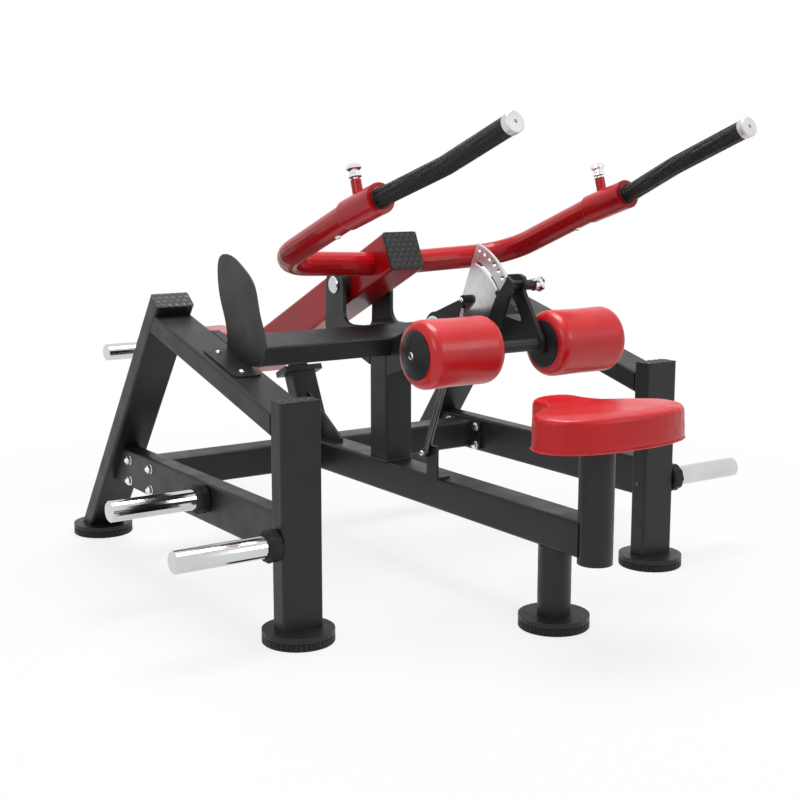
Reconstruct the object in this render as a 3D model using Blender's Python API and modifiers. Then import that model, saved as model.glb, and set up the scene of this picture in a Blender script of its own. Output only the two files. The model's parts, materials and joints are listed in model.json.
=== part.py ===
"""A plate-loaded seated dip machine.

The user sits on the saddle at the front, facing the machine (+Y), with the thighs under the
two rollers, and presses the two grips down. The lever then turns on its pivot pin and lifts
the weight plates, which hang on the two horns at its rear end.

Metres, +Z up, X = 0 is the plane of symmetry. Positions along Y are measured from the front
faces of the two front posts. Left is -X.
"""

import math

import bmesh
import bpy
from mathutils import Matrix, Vector
from mathutils.geometry import intersect_line_plane

# Clearance between two pieces that touch, and the depth to which welded shapes run into each other.
GAP = 0.0003
WELD = 0.002

# The front posts' front faces, from the middle of the machine's footprint.
POST_FRONT_Y = -0.512

# Sections of the steel tubes.
TUBE_WIDE = 0.100
TUBE_NARROW = 0.050
SQUARE_TUBE = 0.080
TUBE_WALL = 0.003
TUBE_CORNER = 0.007
CAP_THICKNESS = 0.006
CAP_PLUG = 0.015

# Feet: a steel disc on a rubber ring.
FOOT_RADIUS = 0.081
FOOT_HEIGHT = 0.030
RUBBER_HEIGHT = 0.018
REAR_FOOT_Y = 1.135
FRONT_FOOT_Y = -0.212

# Side frames.
HALF_TRACK = 0.528
POST_HEIGHT = 0.534
LOWER_BEAM_TOP = 0.282
SLOPING_BEAM_TOP = 0.508
BEAM_ANGLE = math.radians(14.88)
LEG_ANGLE = math.radians(53.0)
LEG_LENGTH = 0.839

# Crossbars, column and centre beam.
CROSSBAR_Y = 0.434
FLANGE_THICKNESS = 0.0095
FLANGE_LENGTH = 0.172
LOWER_CROSSBAR_Y = 0.803
CENTRE_BEAM_TOP = 0.272
CENTRE_BEAM_FRONT = -0.332
COLUMN_Y = 0.4513
DRAIN_HOLE_RADIUS = 0.004

# Seat.
SEAT_POST_Y = -0.3445
SEAT_POST_RADIUS = 0.039
SEAT_POST_FOOT = 0.178
SEAT_TOP = 0.527
SEAT_THICKNESS = 0.077
SEAT_BEAD = 0.006
SEAT_PLATE_RADIUS = 0.085
SEAT_PLATE_THICKNESS = 0.006
FRONT_FOOT_TUBE_RADIUS = 0.038

# Storage horns and the horns that carry the working plates.
HORN_RADIUS = 0.025
STORAGE_HORN_LENGTH = 0.245
POST_HORN_HEIGHT = 0.224
SIDE_HORN_Y = 0.420
SIDE_HORN_HEIGHT = 0.245
REAR_HORN_LENGTH = 0.330
REAR_HORN_FROM_END = 0.0625
HORN_CHAMFER = 0.003

# Lever.
LEVER_PIVOT = Vector((0, 0.600, 0.7185))
LEVER_ANGLE = math.radians(25.2)
LEVER_FRONT = 0.230
LEVER_REAR_HEIGHT = 0.468
LEVER_END_Y = 1.4995
LEVER_PIN_RADIUS = 0.016
LEVER_PIN_HEAD_RADIUS = 0.0225
LEVER_PIN_HEAD_THICKNESS = 0.006
LEVER_BUSH_RADIUS = 0.028

# The U-shaped bracket that carries the lever: its bent plate, bosses and the gussets under it.
EAR_OUTER = 0.0785
EAR_THICKNESS = 0.010
EAR_RADIUS = 0.042
EAR_BEND = 0.026
EAR_FILLET = 0.032
EAR_BOSS_RADIUS = 0.035
FLOOR_ANGLE = math.radians(9)
FLOOR_REAR_Y = 0.650
FLOOR_BELOW_CROSSBAR = 0.002
GUSSET_PLATE = 0.006
REAR_GUSSET_Y = 0.600
REAR_GUSSET_DEPTH = 0.044

# Yoke and the collars at its ends.
YOKE_RADIUS = 0.030
YOKE_WALL = 0.004
YOKE_FROM_CAP = 0.088
YOKE_BEND = 0.120
YOKE_HALF_WIDTH = 0.352
YOKE_CORNER = Vector((0, 0.420, 0.795))
COLLAR_START = Vector((0, 0.086, 0.921))
COLLAR_ANGLE = math.radians(17.2)
COLLAR_RADIUS = 0.0345
COLLAR_LENGTH = 0.132
JOURNAL_RADIUS = 0.0205
JOURNAL_DEPTH = 0.112

# Grips: a cranked bar in a sleeve. IN is towards the middle, UP is square to the collar.
GRIP_RADIUS = 0.021
GRIP_BAR_RADIUS = 0.016
GRIP_CRANK_REACH = 0.200
GRIP_CRANK_IN = 0.032
GRIP_CRANK_UP = 0.009
GRIP_END_REACH = 0.432
GRIP_END_IN = 0.035
GRIP_END_UP = 0.023
GRIP_BEND = 0.110
GRIP_CAP_RADIUS = 0.0225
GRIP_CAP_LENGTH = 0.018

# Pull-pins.
PIN_RADIUS = 0.0055
PIN_BARREL_RADIUS = 0.012
PIN_BARREL_LENGTH = 0.030
PIN_KNOB_RADIUS = 0.0175
PIN_KNOB_LENGTH = 0.030
COLLAR_PIN_FROM_MOUTH = 0.084

# Thigh adjuster: the axis that it turns on, and its stations along X.
THIGH_PIVOT = Vector((0, 0.178, 0.639))
HUB_RADIUS = 0.044
SHAFT_RADIUS = 0.016
SHAFT_DISC_RADIUS = 0.034
SHAFT_DISC_THICKNESS = 0.006
LEFT_HUB_X = -0.054
HOUSING_LEFT_X = -0.0257
SECTOR_X = 0.030
SECTOR_THICKNESS = 0.008
ARM_PLATE_X = 0.061
ARM_PLATE_THICKNESS = 0.010
RIGHT_HUB_X = 0.114
HOLE_CIRCLE_RADIUS = 0.202
SECTOR_RIM_RADIUS = 0.2137
SECTOR_HOLES = 7
SECTOR_PITCH = math.radians(6.11)
LOWEST_HOLE = math.radians(33.9)
SECTOR_HOLE_RADIUS = 0.0064
SLOT_CIRCLE_RADIUS = 0.170
SLOT_WIDTH = 0.012
GUIDE_RADIUS = 0.0045
FORK_TIE = math.radians(33.4)

# Rollers.
ROLLER_AXLE = Vector((0, -0.0617, 0.621))
ROLLER_RADIUS = 0.079
ROLLER_INNER_X = 0.0756
ROLLER_OUTER_X = 0.282
ROLLER_SHOULDER = 0.022
ROLLER_DISC_RADIUS = 0.055
ROLLER_DISC_PROUD = 0.002
ROLLER_DISC_DOME = 0.010
AXLE_RADIUS = 0.014

# Gas strut.
STRUT_X = -0.066
STRUT_FOOT = Vector((0, 0.198, 0.337))
STRUT_HEAD = Vector((0, 0.041, 0.723))
STRUT_RADIUS = 0.0085
STRUT_ROD_RADIUS = 0.004
STRUT_EYE_RADIUS = 0.011
STRUT_EYE_WIDTH = 0.018
STRUT_CYLINDER_LENGTH = 0.225
LUG_THICKNESS = 0.008

# Stop for the lever.
STOP_Y = 0.848
STOP_WIDE = 0.080
STOP_DEEP = 0.050
STOP_PLATE_WIDE = 0.120
STOP_PLATE_DEEP = 0.060
STOP_PLATE_THICKNESS = 0.016
STOP_BUFFER_RADIUS = 0.028
STOP_BUFFER_HEIGHT = 0.050
STOP_GUSSET_LENGTH = 0.126
STOP_GUSSET_HEIGHT = 0.134
STOP_GUSSET_TOE = 0.010
STOP_GUSSET_THICKNESS = 0.008

# Placard: a blank sheet that stands on the left sloping beam.
PLACARD_X = -0.500
PLACARD_THICKNESS = 0.003
PLACARD_FLANGE_WIDTH = 0.062
PLACARD_FLANGE_START = 0.235
PLACARD_FLANGE_LENGTH = 0.175

X_AXIS = Vector((1, 0, 0))
Y_AXIS = Vector((0, 1, 0))
Z_AXIS = Vector((0, 0, 1))
SIDES = (("left", -1), ("right", 1))

for old in list(bpy.data.objects):
    bpy.data.objects.remove(old, do_unlink=True)

parts = bpy.data.collections.new("dip_machine")
tools = bpy.data.collections.new("cutters")
for collection in (parts, tools):
    bpy.context.scene.collection.children.link(collection)


def material(name, color, roughness, metallic=0.0):
    """A Principled material of one colour."""
    made = bpy.data.materials.new(name)
    made.use_nodes = True
    shader = made.node_tree.nodes["Principled BSDF"]
    shader.inputs["Base Color"].default_value = (*color, 1)
    shader.inputs["Roughness"].default_value = roughness
    shader.inputs["Metallic"].default_value = metallic
    made.diffuse_color = (*color, 1)
    return made


FINISHES = {
    "frame_paint": ((0.030, 0.030, 0.032), 0.45, 0.0),
    "lever_paint": ((0.42, 0.010, 0.014), 0.25, 0.0),
    "chrome": ((0.80, 0.80, 0.82), 0.08, 1.0),
    "aluminium": ((0.62, 0.62, 0.64), 0.30, 1.0),
    "rubber": ((0.018, 0.018, 0.018), 0.70, 0.0),
    "grip_rubber": ((0.020, 0.020, 0.022), 0.65, 0.0),
    "cap_plastic": ((0.016, 0.016, 0.017), 0.50, 0.0),
    "vinyl": ((0.60, 0.020, 0.025), 0.35, 0.0),
}


def empty(name, parent, location):
    """An empty on a joint's axis. Its place is given from the machine's own datum."""
    made = bpy.data.objects.new(name, None)
    made.empty_display_size = 0.05
    parts.objects.link(made)
    made.parent = parent
    made["datum"] = list(location)
    made.location = Vector(location) - (Vector(parent["datum"]) if parent else Vector())
    return made


def aim(direction, side=X_AXIS):
    """The turn that puts Z along direction, and X as near to side as it can be."""
    z = Vector(direction).normalized()
    x = (side - z * side.dot(z)).normalized()
    return Matrix((x, z.cross(x), z)).transposed()


SIDE_ON = Matrix(((0, 0, 1), (1, 0, 0), (0, 1, 0)))


def add(name, mesh_data, finish, parent, location=(0, 0, 0), turn=None):
    """Makes the object of a bmesh. Its place is given from the machine's own datum."""
    bmesh.ops.recalc_face_normals(mesh_data, faces=mesh_data.faces)
    mesh = bpy.data.meshes.new(name)
    mesh_data.to_mesh(mesh)
    mesh_data.free()
    mesh.shade_smooth()
    mesh.set_sharp_from_angle(angle=math.radians(40))
    made = bpy.data.objects.new(name, mesh)
    mesh.materials.append(material(name, *FINISHES[finish]))
    parts.objects.link(made)
    made.parent = parent
    made.location = Vector(location) - Vector(parent["datum"])
    if turn:
        made.rotation_euler = turn.to_euler()
    return made


def combine(target, tool, operation):
    """Joins tool to target, cuts it away, or keeps what they share."""
    parts.objects.unlink(tool)
    tools.objects.link(tool)
    tool.hide_render = True
    tool.display_type = "WIRE"
    change = target.modifiers.new(tool.name, "BOOLEAN")
    change.operation = operation
    change.object = tool


def join(target, *others):
    for other in others:
        combine(target, other, "UNION")


def cut(target, *others):
    for other in others:
        combine(target, other, "DIFFERENCE")


def rounded(corners, steps=5):
    """The points of an outline whose corners (x, y, radius) are arcs."""
    points = []
    for i, (x, y, radius) in enumerate(corners):
        here = Vector((x, y))
        if not radius:
            points.append(here)
            continue
        before = (Vector(corners[i - 1][:2]) - here).normalized()
        after = (Vector(corners[(i + 1) % len(corners)][:2]) - here).normalized()
        half = before.angle(after) / 2
        centre = here + (before + after).normalized() * (radius / math.sin(half))
        spoke = here + before * (radius / math.tan(half)) - centre
        turn = math.copysign(math.pi - 2 * half, after.cross(before))
        for k in range(steps + 1):
            points.append(centre + Matrix.Rotation(turn * k / steps, 2) @ spoke)
    return points


def belt(circles, steps=8):
    """The outline of a belt pulled round circles (x, y, radius), given anticlockwise."""
    tangents = []
    for i, (x, y, radius) in enumerate(circles):
        nx, ny, next_radius = circles[(i + 1) % len(circles)]
        across = Vector((nx - x, ny - y))
        tangents.append(math.atan2(across.y, across.x) - math.acos((radius - next_radius) / across.length))
    points = []
    for i, (x, y, radius) in enumerate(circles):
        start = tangents[i - 1]
        sweep = (tangents[i] - start) % (2 * math.pi)
        for k in range(steps + 1):
            angle = start + sweep * k / steps
            points.append(Vector((x + radius * math.cos(angle), y + radius * math.sin(angle))))
    return points


def prism(points, low, high):
    """A bmesh of a flat outline, pulled from low to high along Z."""
    shape = bmesh.new()
    corners = [shape.verts.new((p.x, p.y, low)) for p in points]
    face = shape.faces.new(corners)
    pulled = bmesh.ops.extrude_face_region(shape, geom=[face])["geom"]
    top = [v for v in pulled if isinstance(v, bmesh.types.BMVert)]
    bmesh.ops.translate(shape, verts=top, vec=(0, 0, high - low))
    return shape


def side_plate(name, points, low_x, high_x, finish, parent, origin):
    """A plate in the machine's side view. Its outline is (Y, Z) from the datum."""
    local = [Vector((p.x - origin.y, p.y - origin.z)) for p in points]
    return add(name, prism(local, low_x, high_x), finish, parent, (0, origin.y, origin.z), SIDE_ON)


def box(name, low, high, finish, parent, turn=None, origin=None):
    """A box between two corners, which are given from origin when there is one."""
    low, high = Vector(low), Vector(high)
    shape = bmesh.new()
    bmesh.ops.create_cube(shape, size=1)
    bmesh.ops.scale(shape, vec=high - low, verts=shape.verts)
    middle = (low + high) / 2
    if origin is None:
        return add(name, shape, finish, parent, middle, turn)
    bmesh.ops.translate(shape, vec=middle, verts=shape.verts)
    return add(name, shape, finish, parent, origin, turn)


def rod(name, start, end, radius, finish, parent, sides=24):
    """A solid bar from one point to another."""
    start, end = Vector(start), Vector(end)
    shape = bmesh.new()
    length = (end - start).length
    bmesh.ops.create_cone(
        shape, cap_ends=True, segments=sides, radius1=radius, radius2=radius, depth=length
    )
    bmesh.ops.translate(shape, vec=(0, 0, length / 2), verts=shape.verts)
    return add(name, shape, finish, parent, start, aim(end - start, Y_AXIS + Z_AXIS * 0.01))


def turned(name, profile, finish, parent, location, direction=Z_AXIS, steps=32, ring=False):
    """A turned piece. The profile (radius, height) runs from the top down its outer side."""
    shape = bmesh.new()
    points = [shape.verts.new((radius, 0, height)) for radius, height in profile]
    for a, b in zip(points, points[1:]):
        shape.edges.new((a, b))
    if ring:
        shape.edges.new((points[-1], points[0]))
    made = add(name, shape, finish, parent, location, aim(direction, Y_AXIS + Z_AXIS * 0.01))
    screw = made.modifiers.new("turn", "SCREW")
    screw.steps = steps
    screw.render_steps = steps
    screw.use_merge_vertices = True
    screw.merge_threshold = 0.00001
    screw.use_smooth_shade = True
    return made


def box_tube(name, wide, deep, path, finish, parent, first_cut=None, last_cut=None, side=X_AXIS):
    """A rectangular hollow section along a path, mitred at its corners. The cuts are end planes' normals."""
    runs = [(b - a).normalized() for a, b in zip(path, path[1:])]
    planes = [first_cut or runs[0]]
    planes += [a + b for a, b in zip(runs, runs[1:])]
    planes.append(last_cut or runs[-1])
    shape = bmesh.new()
    bmesh.ops.create_grid(shape, x_segments=1, y_segments=1, size=0.5)
    bmesh.ops.scale(shape, vec=(wide, deep, 1), verts=shape.verts)
    bmesh.ops.bevel(
        shape, geom=shape.verts[:], offset=TUBE_CORNER, segments=3, profile=0.5, affect="VERTICES"
    )
    bmesh.ops.inset_individual(shape, faces=shape.faces[:], thickness=TUBE_WALL)
    bore = max(shape.faces, key=lambda face: len(face.verts))
    bmesh.ops.delete(shape, geom=[bore], context="FACES")
    bmesh.ops.rotate(shape, matrix=aim(runs[0], side), verts=shape.verts)
    section = shape.faces[:]
    moving = shape.verts[:]
    for i, plane in enumerate(planes):
        run = runs[max(i - 1, 0)]
        if i:
            pulled = bmesh.ops.extrude_face_region(shape, geom=section)["geom"]
            if i > 1:
                bmesh.ops.delete(shape, geom=section, context="FACES_ONLY")
            moving = [g for g in pulled if isinstance(g, bmesh.types.BMVert)]
            section = [g for g in pulled if isinstance(g, bmesh.types.BMFace)]
        for v in moving:
            v.co = intersect_line_plane(v.co, v.co + run, path[i] - path[0], plane)
    return add(name, shape, finish, parent, path[0])


def end_cap(name, wide, deep, base, direction, finish, parent, side=X_AXIS):
    """A cap on the end of a box tube, with a plug that fits inside the tube."""
    shape = bmesh.new()
    bmesh.ops.create_grid(shape, x_segments=1, y_segments=1, size=0.5)
    bmesh.ops.scale(shape, vec=(wide, deep, 1), verts=shape.verts)
    bmesh.ops.bevel(
        shape, geom=shape.verts[:], offset=TUBE_CORNER, segments=3, profile=0.5, affect="VERTICES"
    )
    face = shape.faces[:]
    bmesh.ops.inset_individual(shape, faces=face, thickness=TUBE_WALL + GAP)
    plug = max(shape.faces, key=lambda f: len(f.verts))
    top = bmesh.ops.extrude_face_region(shape, geom=shape.faces[:])["geom"]
    raised = [g for g in top if isinstance(g, bmesh.types.BMVert)]
    bmesh.ops.translate(shape, vec=(0, 0, CAP_THICKNESS - GAP), verts=raised)
    pulled = bmesh.ops.extrude_discrete_faces(shape, faces=[plug])["faces"]
    low = {v for f in pulled for v in f.verts}
    bmesh.ops.translate(shape, vec=(0, 0, -CAP_PLUG), verts=list(low))
    return add(name, shape, finish, parent, Vector(base) + Vector(direction) * GAP, aim(direction, side))


def bent_path(points, bend, steps=6):
    """A path with each inner corner replaced by an arc of radius bend."""
    path = [Vector(points[0])]
    for a, b, c in zip(points, points[1:], points[2:]):
        before = (Vector(a) - b).normalized()
        after = (Vector(c) - b).normalized()
        half = before.angle(after) / 2
        back = bend / math.tan(half)
        centre = Vector(b) + (before + after).normalized() * (bend / math.sin(half))
        spoke = Vector(b) + before * back - centre
        axis = spoke.cross(Vector(b) + after * back - centre).normalized()
        for k in range(steps + 1):
            path.append(centre + Matrix.Rotation((math.pi - 2 * half) * k / steps, 3, axis) @ spoke)
    path.append(Vector(points[-1]))
    return path


def bent_bar(name, path, radius, finish, parent, resolution=4):
    """A round bar along a path: a bevelled curve, made a mesh so that it can be joined and cut."""
    curve = bpy.data.curves.new(name, "CURVE")
    curve.dimensions = "3D"
    curve.bevel_depth = radius
    curve.bevel_resolution = resolution
    curve.use_fill_caps = True
    spline = curve.splines.new("POLY")
    spline.points.add(len(path) - 1)
    for point, place in zip(spline.points, path):
        point.co = (*(place - path[0]), 1)
    guide = bpy.data.objects.new(name + "_line", curve)
    bpy.context.scene.collection.objects.link(guide)
    graph = bpy.context.evaluated_depsgraph_get()
    mesh = bpy.data.meshes.new_from_object(guide.evaluated_get(graph))
    bpy.data.objects.remove(guide)
    shape = bmesh.new()
    shape.from_mesh(mesh)
    bmesh.ops.remove_doubles(shape, verts=shape.verts, dist=1e-5)
    return add(name, shape, finish, parent, path[0])


machine = empty("machine", None, (0, 0, 0))
machine.location = (0, POST_FRONT_Y, 0)

# Directions and planes that several pieces share.
UP_BEAM = Vector((0, math.cos(BEAM_ANGLE), math.sin(BEAM_ANGLE)))
OFF_BEAM = Vector((0, -math.sin(BEAM_ANGLE), math.cos(BEAM_ANGLE)))
UP_LEG = Vector((0, -math.cos(LEG_ANGLE), math.sin(LEG_ANGLE)))
LEG_FRONT = Vector((0, -math.sin(LEG_ANGLE), -math.cos(LEG_ANGLE)))
DOWN_LEVER = Vector((0, math.cos(LEVER_ANGLE), -math.sin(LEVER_ANGLE)))
OFF_LEVER = Vector((0, math.sin(LEVER_ANGLE), math.cos(LEVER_ANGLE)))
OUT_COLLAR = Vector((0, -math.cos(COLLAR_ANGLE), math.sin(COLLAR_ANGLE)))
OFF_COLLAR = Vector((0, math.sin(COLLAR_ANGLE), math.cos(COLLAR_ANGLE)))
CROSSBAR_LENGTH_SIDE = HALF_TRACK - TUBE_WIDE / 2


def beam_top(y):
    """The height of the sloping beams' top faces."""
    return SLOPING_BEAM_TOP + (y - TUBE_NARROW) * math.tan(BEAM_ANGLE)


CROSSBAR = Vector((0, CROSSBAR_Y, beam_top(CROSSBAR_Y))) - OFF_BEAM * TUBE_NARROW / 2


def beside_crossbar(along, off):
    """A point (Y, Z) just clear of the upper crossbar. (-1, 1) is its upper front corner."""
    clear = GAP * 3
    place = CROSSBAR + UP_BEAM * along * (TUBE_WIDE / 2 + clear) + OFF_BEAM * off * (TUBE_NARROW / 2 + clear)
    return Vector((place.y, place.z))


def under_crossbar(y):
    """The point (Y, Z) just clear of the upper crossbar's underside."""
    corner = beside_crossbar(-1, -1)
    return Vector((y, corner.y + (y - corner.x) * math.tan(BEAM_ANGLE)))


def meet_leg(point, direction, x):
    """Where a line along the side frame meets the front face of that side's rear leg."""
    leg_face = Vector((x, REAR_FOOT_Y, FOOT_HEIGHT)) + LEG_FRONT * (TUBE_NARROW / 2 + GAP)
    return intersect_line_plane(point, point + direction, leg_face, LEG_FRONT)


def foot(name, x, y):
    """The rubber ring under a foot disc."""
    chamfer = 0.002
    turned(
        name,
        [
            (0, RUBBER_HEIGHT),
            (FOOT_RADIUS - chamfer, RUBBER_HEIGHT),
            (FOOT_RADIUS, RUBBER_HEIGHT - chamfer),
            (FOOT_RADIUS, chamfer),
            (FOOT_RADIUS - chamfer, 0),
            (0, 0),
        ],
        "rubber",
        machine,
        (x, y, 0),
        steps=32,
    )


def foot_disc(name, x, y):
    """The steel disc that is welded under a post or a leg."""
    return rod(
        name, (x, y, RUBBER_HEIGHT + GAP), (x, y, FOOT_HEIGHT), FOOT_RADIUS, "frame_paint", machine, 32
    )


def side_frame(side, sign):
    """One side: post, two beams, rear leg, their caps and rubber feet."""
    x = sign * HALF_TRACK
    post_y = TUBE_NARROW / 2
    base = Vector((x, post_y, FOOT_HEIGHT - WELD))
    top = Vector((x, post_y, POST_HEIGHT - CAP_THICKNESS))
    post = box_tube(f"{side}_front_post", TUBE_WIDE, TUBE_NARROW, [base, top], "frame_paint", machine)
    join(post, foot_disc(f"{side}_post_disc", x, post_y))
    end_cap(f"{side}_post_cap", TUBE_WIDE, TUBE_NARROW, top, Z_AXIS, "cap_plastic", machine)
    foot(f"{side}_front_foot", x, post_y)

    leg_foot = Vector((x, REAR_FOOT_Y, FOOT_HEIGHT))
    base = leg_foot - UP_LEG * WELD
    top = leg_foot + UP_LEG * (LEG_LENGTH - CAP_THICKNESS)
    leg = box_tube(
        f"{side}_rear_leg", TUBE_WIDE, TUBE_NARROW, [base, top], "frame_paint", machine, first_cut=Z_AXIS
    )
    join(leg, foot_disc(f"{side}_leg_disc", x, REAR_FOOT_Y))
    end_cap(f"{side}_leg_cap", TUBE_WIDE, TUBE_NARROW, top, UP_LEG, "cap_plastic", machine)
    foot(f"{side}_rear_foot", x, REAR_FOOT_Y)

    start = Vector((x, TUBE_NARROW + GAP, LOWER_BEAM_TOP - TUBE_WIDE / 2))
    end = meet_leg(start, Y_AXIS, x)
    box_tube(
        f"{side}_lower_beam", TUBE_NARROW, TUBE_WIDE, [start, end], "frame_paint", machine,
        first_cut=Y_AXIS, last_cut=-LEG_FRONT,
    )

    level = Vector((x, TUBE_NARROW, SLOPING_BEAM_TOP)) - OFF_BEAM * TUBE_NARROW / 2
    start = intersect_line_plane(level, level + UP_BEAM, Vector((x, TUBE_NARROW + GAP, 0)), Y_AXIS)
    end = meet_leg(start, UP_BEAM, x)
    beam = box_tube(
        f"{side}_sloping_beam", TUBE_WIDE, TUBE_NARROW, [start, end], "frame_paint", machine,
        first_cut=Y_AXIS, last_cut=-LEG_FRONT,
    )
    inner = sorted((sign * (CROSSBAR_LENGTH_SIDE + WELD), sign * (CROSSBAR_LENGTH_SIDE - FLANGE_THICKNESS)))
    half = FLANGE_LENGTH / 2
    pad = box(
        f"{side}_beam_pad", (inner[0], -half, -TUBE_NARROW / 2), (inner[1], half, TUBE_NARROW / 2),
        "frame_paint", machine, Matrix.Rotation(BEAM_ANGLE, 3, "X"), CROSSBAR,
    )
    join(beam, pad)


def cross_tube(name, wide, deep, half_length, centre, side, flange_wide, flange_deep):
    """A tube across the machine with a flange at each end, and a drain hole in its floor."""
    out = half_length - FLANGE_THICKNESS
    path = [centre - X_AXIS * (out + WELD), centre + X_AXIS * (out + WELD)]
    tube = box_tube(name, wide, deep, path, "frame_paint", machine, side=side)
    turn = Matrix((X_AXIS, side, X_AXIS.cross(side))).transposed()
    for end, sign in SIDES:
        low, high = sorted((sign * out, sign * half_length))
        flange = box(
            f"{name}_{end}_flange", (low, -flange_wide / 2, -flange_deep / 2),
            (high, flange_wide / 2, flange_deep / 2), "frame_paint", machine, turn, centre,
        )
        join(tube, flange)
    hole = centre + X_AXIS * (half_length * 0.8)
    down = X_AXIS.cross(side)
    cut(tube, rod(f"{name}_drain", hole, hole - down * deep, DRAIN_HOLE_RADIUS, "frame_paint", machine, 12))
    return tube


def frame_middle():
    """The crossbars, column, centre beam, and the tubes and feet at the front."""
    cross_tube(
        "upper_crossbar", TUBE_WIDE, TUBE_NARROW, CROSSBAR_LENGTH_SIDE - FLANGE_THICKNESS - GAP,
        CROSSBAR, UP_BEAM, FLANGE_LENGTH, TUBE_NARROW,
    )
    height = CENTRE_BEAM_TOP - SQUARE_TUBE / 2
    cross_tube(
        "lower_crossbar", SQUARE_TUBE, SQUARE_TUBE, HALF_TRACK - TUBE_NARROW / 2 - GAP,
        Vector((0, LOWER_CROSSBAR_Y, height)), Y_AXIS, FLANGE_LENGTH, SQUARE_TUBE,
    )
    under = CROSSBAR - OFF_BEAM * (TUBE_NARROW / 2 + GAP)
    base = Vector((0, COLUMN_Y, CENTRE_BEAM_TOP + GAP))
    top = intersect_line_plane(base, base + Z_AXIS, under, OFF_BEAM)
    box_tube("column", SQUARE_TUBE, SQUARE_TUBE, [base, top], "frame_paint", machine, last_cut=OFF_BEAM)

    start = Vector((0, CENTRE_BEAM_FRONT, height))
    end = Vector((0, LOWER_CROSSBAR_Y - SQUARE_TUBE / 2 - GAP, height))
    beam = box_tube("centre_beam", SQUARE_TUBE, SQUARE_TUBE, [start, end], "frame_paint", machine)
    cope = rod(
        "beam_cope", (0, SEAT_POST_Y, 0), (0, SEAT_POST_Y, SEAT_TOP), SEAT_POST_RADIUS + GAP,
        "frame_paint", machine, 48,
    )
    cut(beam, cope)

    foot_top = CENTRE_BEAM_TOP - SQUARE_TUBE - GAP
    bore = FRONT_FOOT_TUBE_RADIUS - TUBE_WALL
    turned(
        "front_foot_tube",
        [
            (FRONT_FOOT_TUBE_RADIUS, foot_top),
            (FRONT_FOOT_TUBE_RADIUS, FOOT_HEIGHT),
            (FOOT_RADIUS, FOOT_HEIGHT),
            (FOOT_RADIUS, RUBBER_HEIGHT + GAP),
            (0, RUBBER_HEIGHT + GAP),
            (0, FOOT_HEIGHT - WELD),
            (bore, FOOT_HEIGHT - WELD),
            (bore, foot_top),
        ],
        "frame_paint", machine, (0, FRONT_FOOT_Y, 0), steps=32, ring=True,
    )
    foot("centre_foot", 0, FRONT_FOOT_Y)

    plate_top = SEAT_TOP - SEAT_THICKNESS - GAP
    plate = plate_top - SEAT_PLATE_THICKNESS
    bore = SEAT_POST_RADIUS - TUBE_WALL
    turned(
        "seat_post",
        [
            (0, plate_top),
            (SEAT_PLATE_RADIUS, plate_top),
            (SEAT_PLATE_RADIUS, plate),
            (SEAT_POST_RADIUS, plate),
            (SEAT_POST_RADIUS, SEAT_POST_FOOT),
            (bore, SEAT_POST_FOOT),
            (bore, plate),
            (0, plate),
        ],
        "frame_paint", machine, (0, SEAT_POST_Y, 0), steps=32,
    )


def seat():
    """The saddle: wide in front, with a nose that runs back between the thighs."""
    half = [
        (0.000, -0.131), (0.056, -0.129), (0.113, -0.119), (0.166, -0.095), (0.198, -0.048),
        (0.185, 0.004), (0.132, 0.045), (0.084, 0.078), (0.066, 0.112), (0.0645, 0.146),
        (0.040, 0.172), (0.000, 0.180),
    ]
    outline = half + [(-x, y) for x, y in reversed(half[1:-1])]
    count = len(outline)
    points = []
    for i in range(count):
        a, b, c, d = (Vector(outline[(i + k) % count]) for k in (-1, 0, 1, 2))
        for t in (0, 0.5):
            smooth = (b * 2 + (c - a) * t + (a * 2 - b * 5 + c * 4 - d) * t * t
                      + (b * 3 - a - c * 3 + d) * t ** 3) / 2
            points.append(smooth)
    shape = prism(points, 0, SEAT_BEAD)
    top = max(shape.faces, key=lambda f: f.calc_center_median().z)
    crown = (
        (0.0015, 0.002), (0.0004, 0.055), (0.0015, 0.006), (0.0045, 0.0045), (0.008, 0.002), (0.026, 0.002)
    )
    for inset, rise in crown:
        bmesh.ops.inset_region(shape, faces=[top], thickness=inset, depth=0)
        bmesh.ops.translate(shape, vec=(0, 0, rise), verts=top.verts)
    lift = SEAT_THICKNESS - max(v.co.z for v in shape.verts)
    bmesh.ops.translate(shape, vec=(0, 0, lift), verts=[v for v in shape.verts if v.co.z > 0.02])
    return add(
        "seat_cushion", shape, "vinyl", machine, (0, SEAT_POST_Y, SEAT_TOP - SEAT_THICKNESS)
    )


def horn(name, start, sign, length, finish_parent):
    """A plain bar for weight plates, chamfered at its free end."""
    return turned(
        name,
        [
            (0, length),
            (HORN_RADIUS - HORN_CHAMFER, length),
            (HORN_RADIUS, length - HORN_CHAMFER),
            (HORN_RADIUS, 0),
            (0, 0),
        ],
        "chrome", finish_parent, start, X_AXIS * sign, steps=24,
    )


def storage_horns():
    for side, sign in SIDES:
        post_face = sign * (HALF_TRACK + TUBE_WIDE / 2 + GAP)
        beam_face = sign * (HALF_TRACK + TUBE_NARROW / 2 + GAP)
        horn(
            f"{side}_front_horn", (post_face, TUBE_NARROW / 2, POST_HORN_HEIGHT), sign,
            STORAGE_HORN_LENGTH, machine,
        )
        horn(
            f"{side}_side_horn", (beam_face, SIDE_HORN_Y, SIDE_HORN_HEIGHT), sign,
            STORAGE_HORN_LENGTH, machine,
        )


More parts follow.
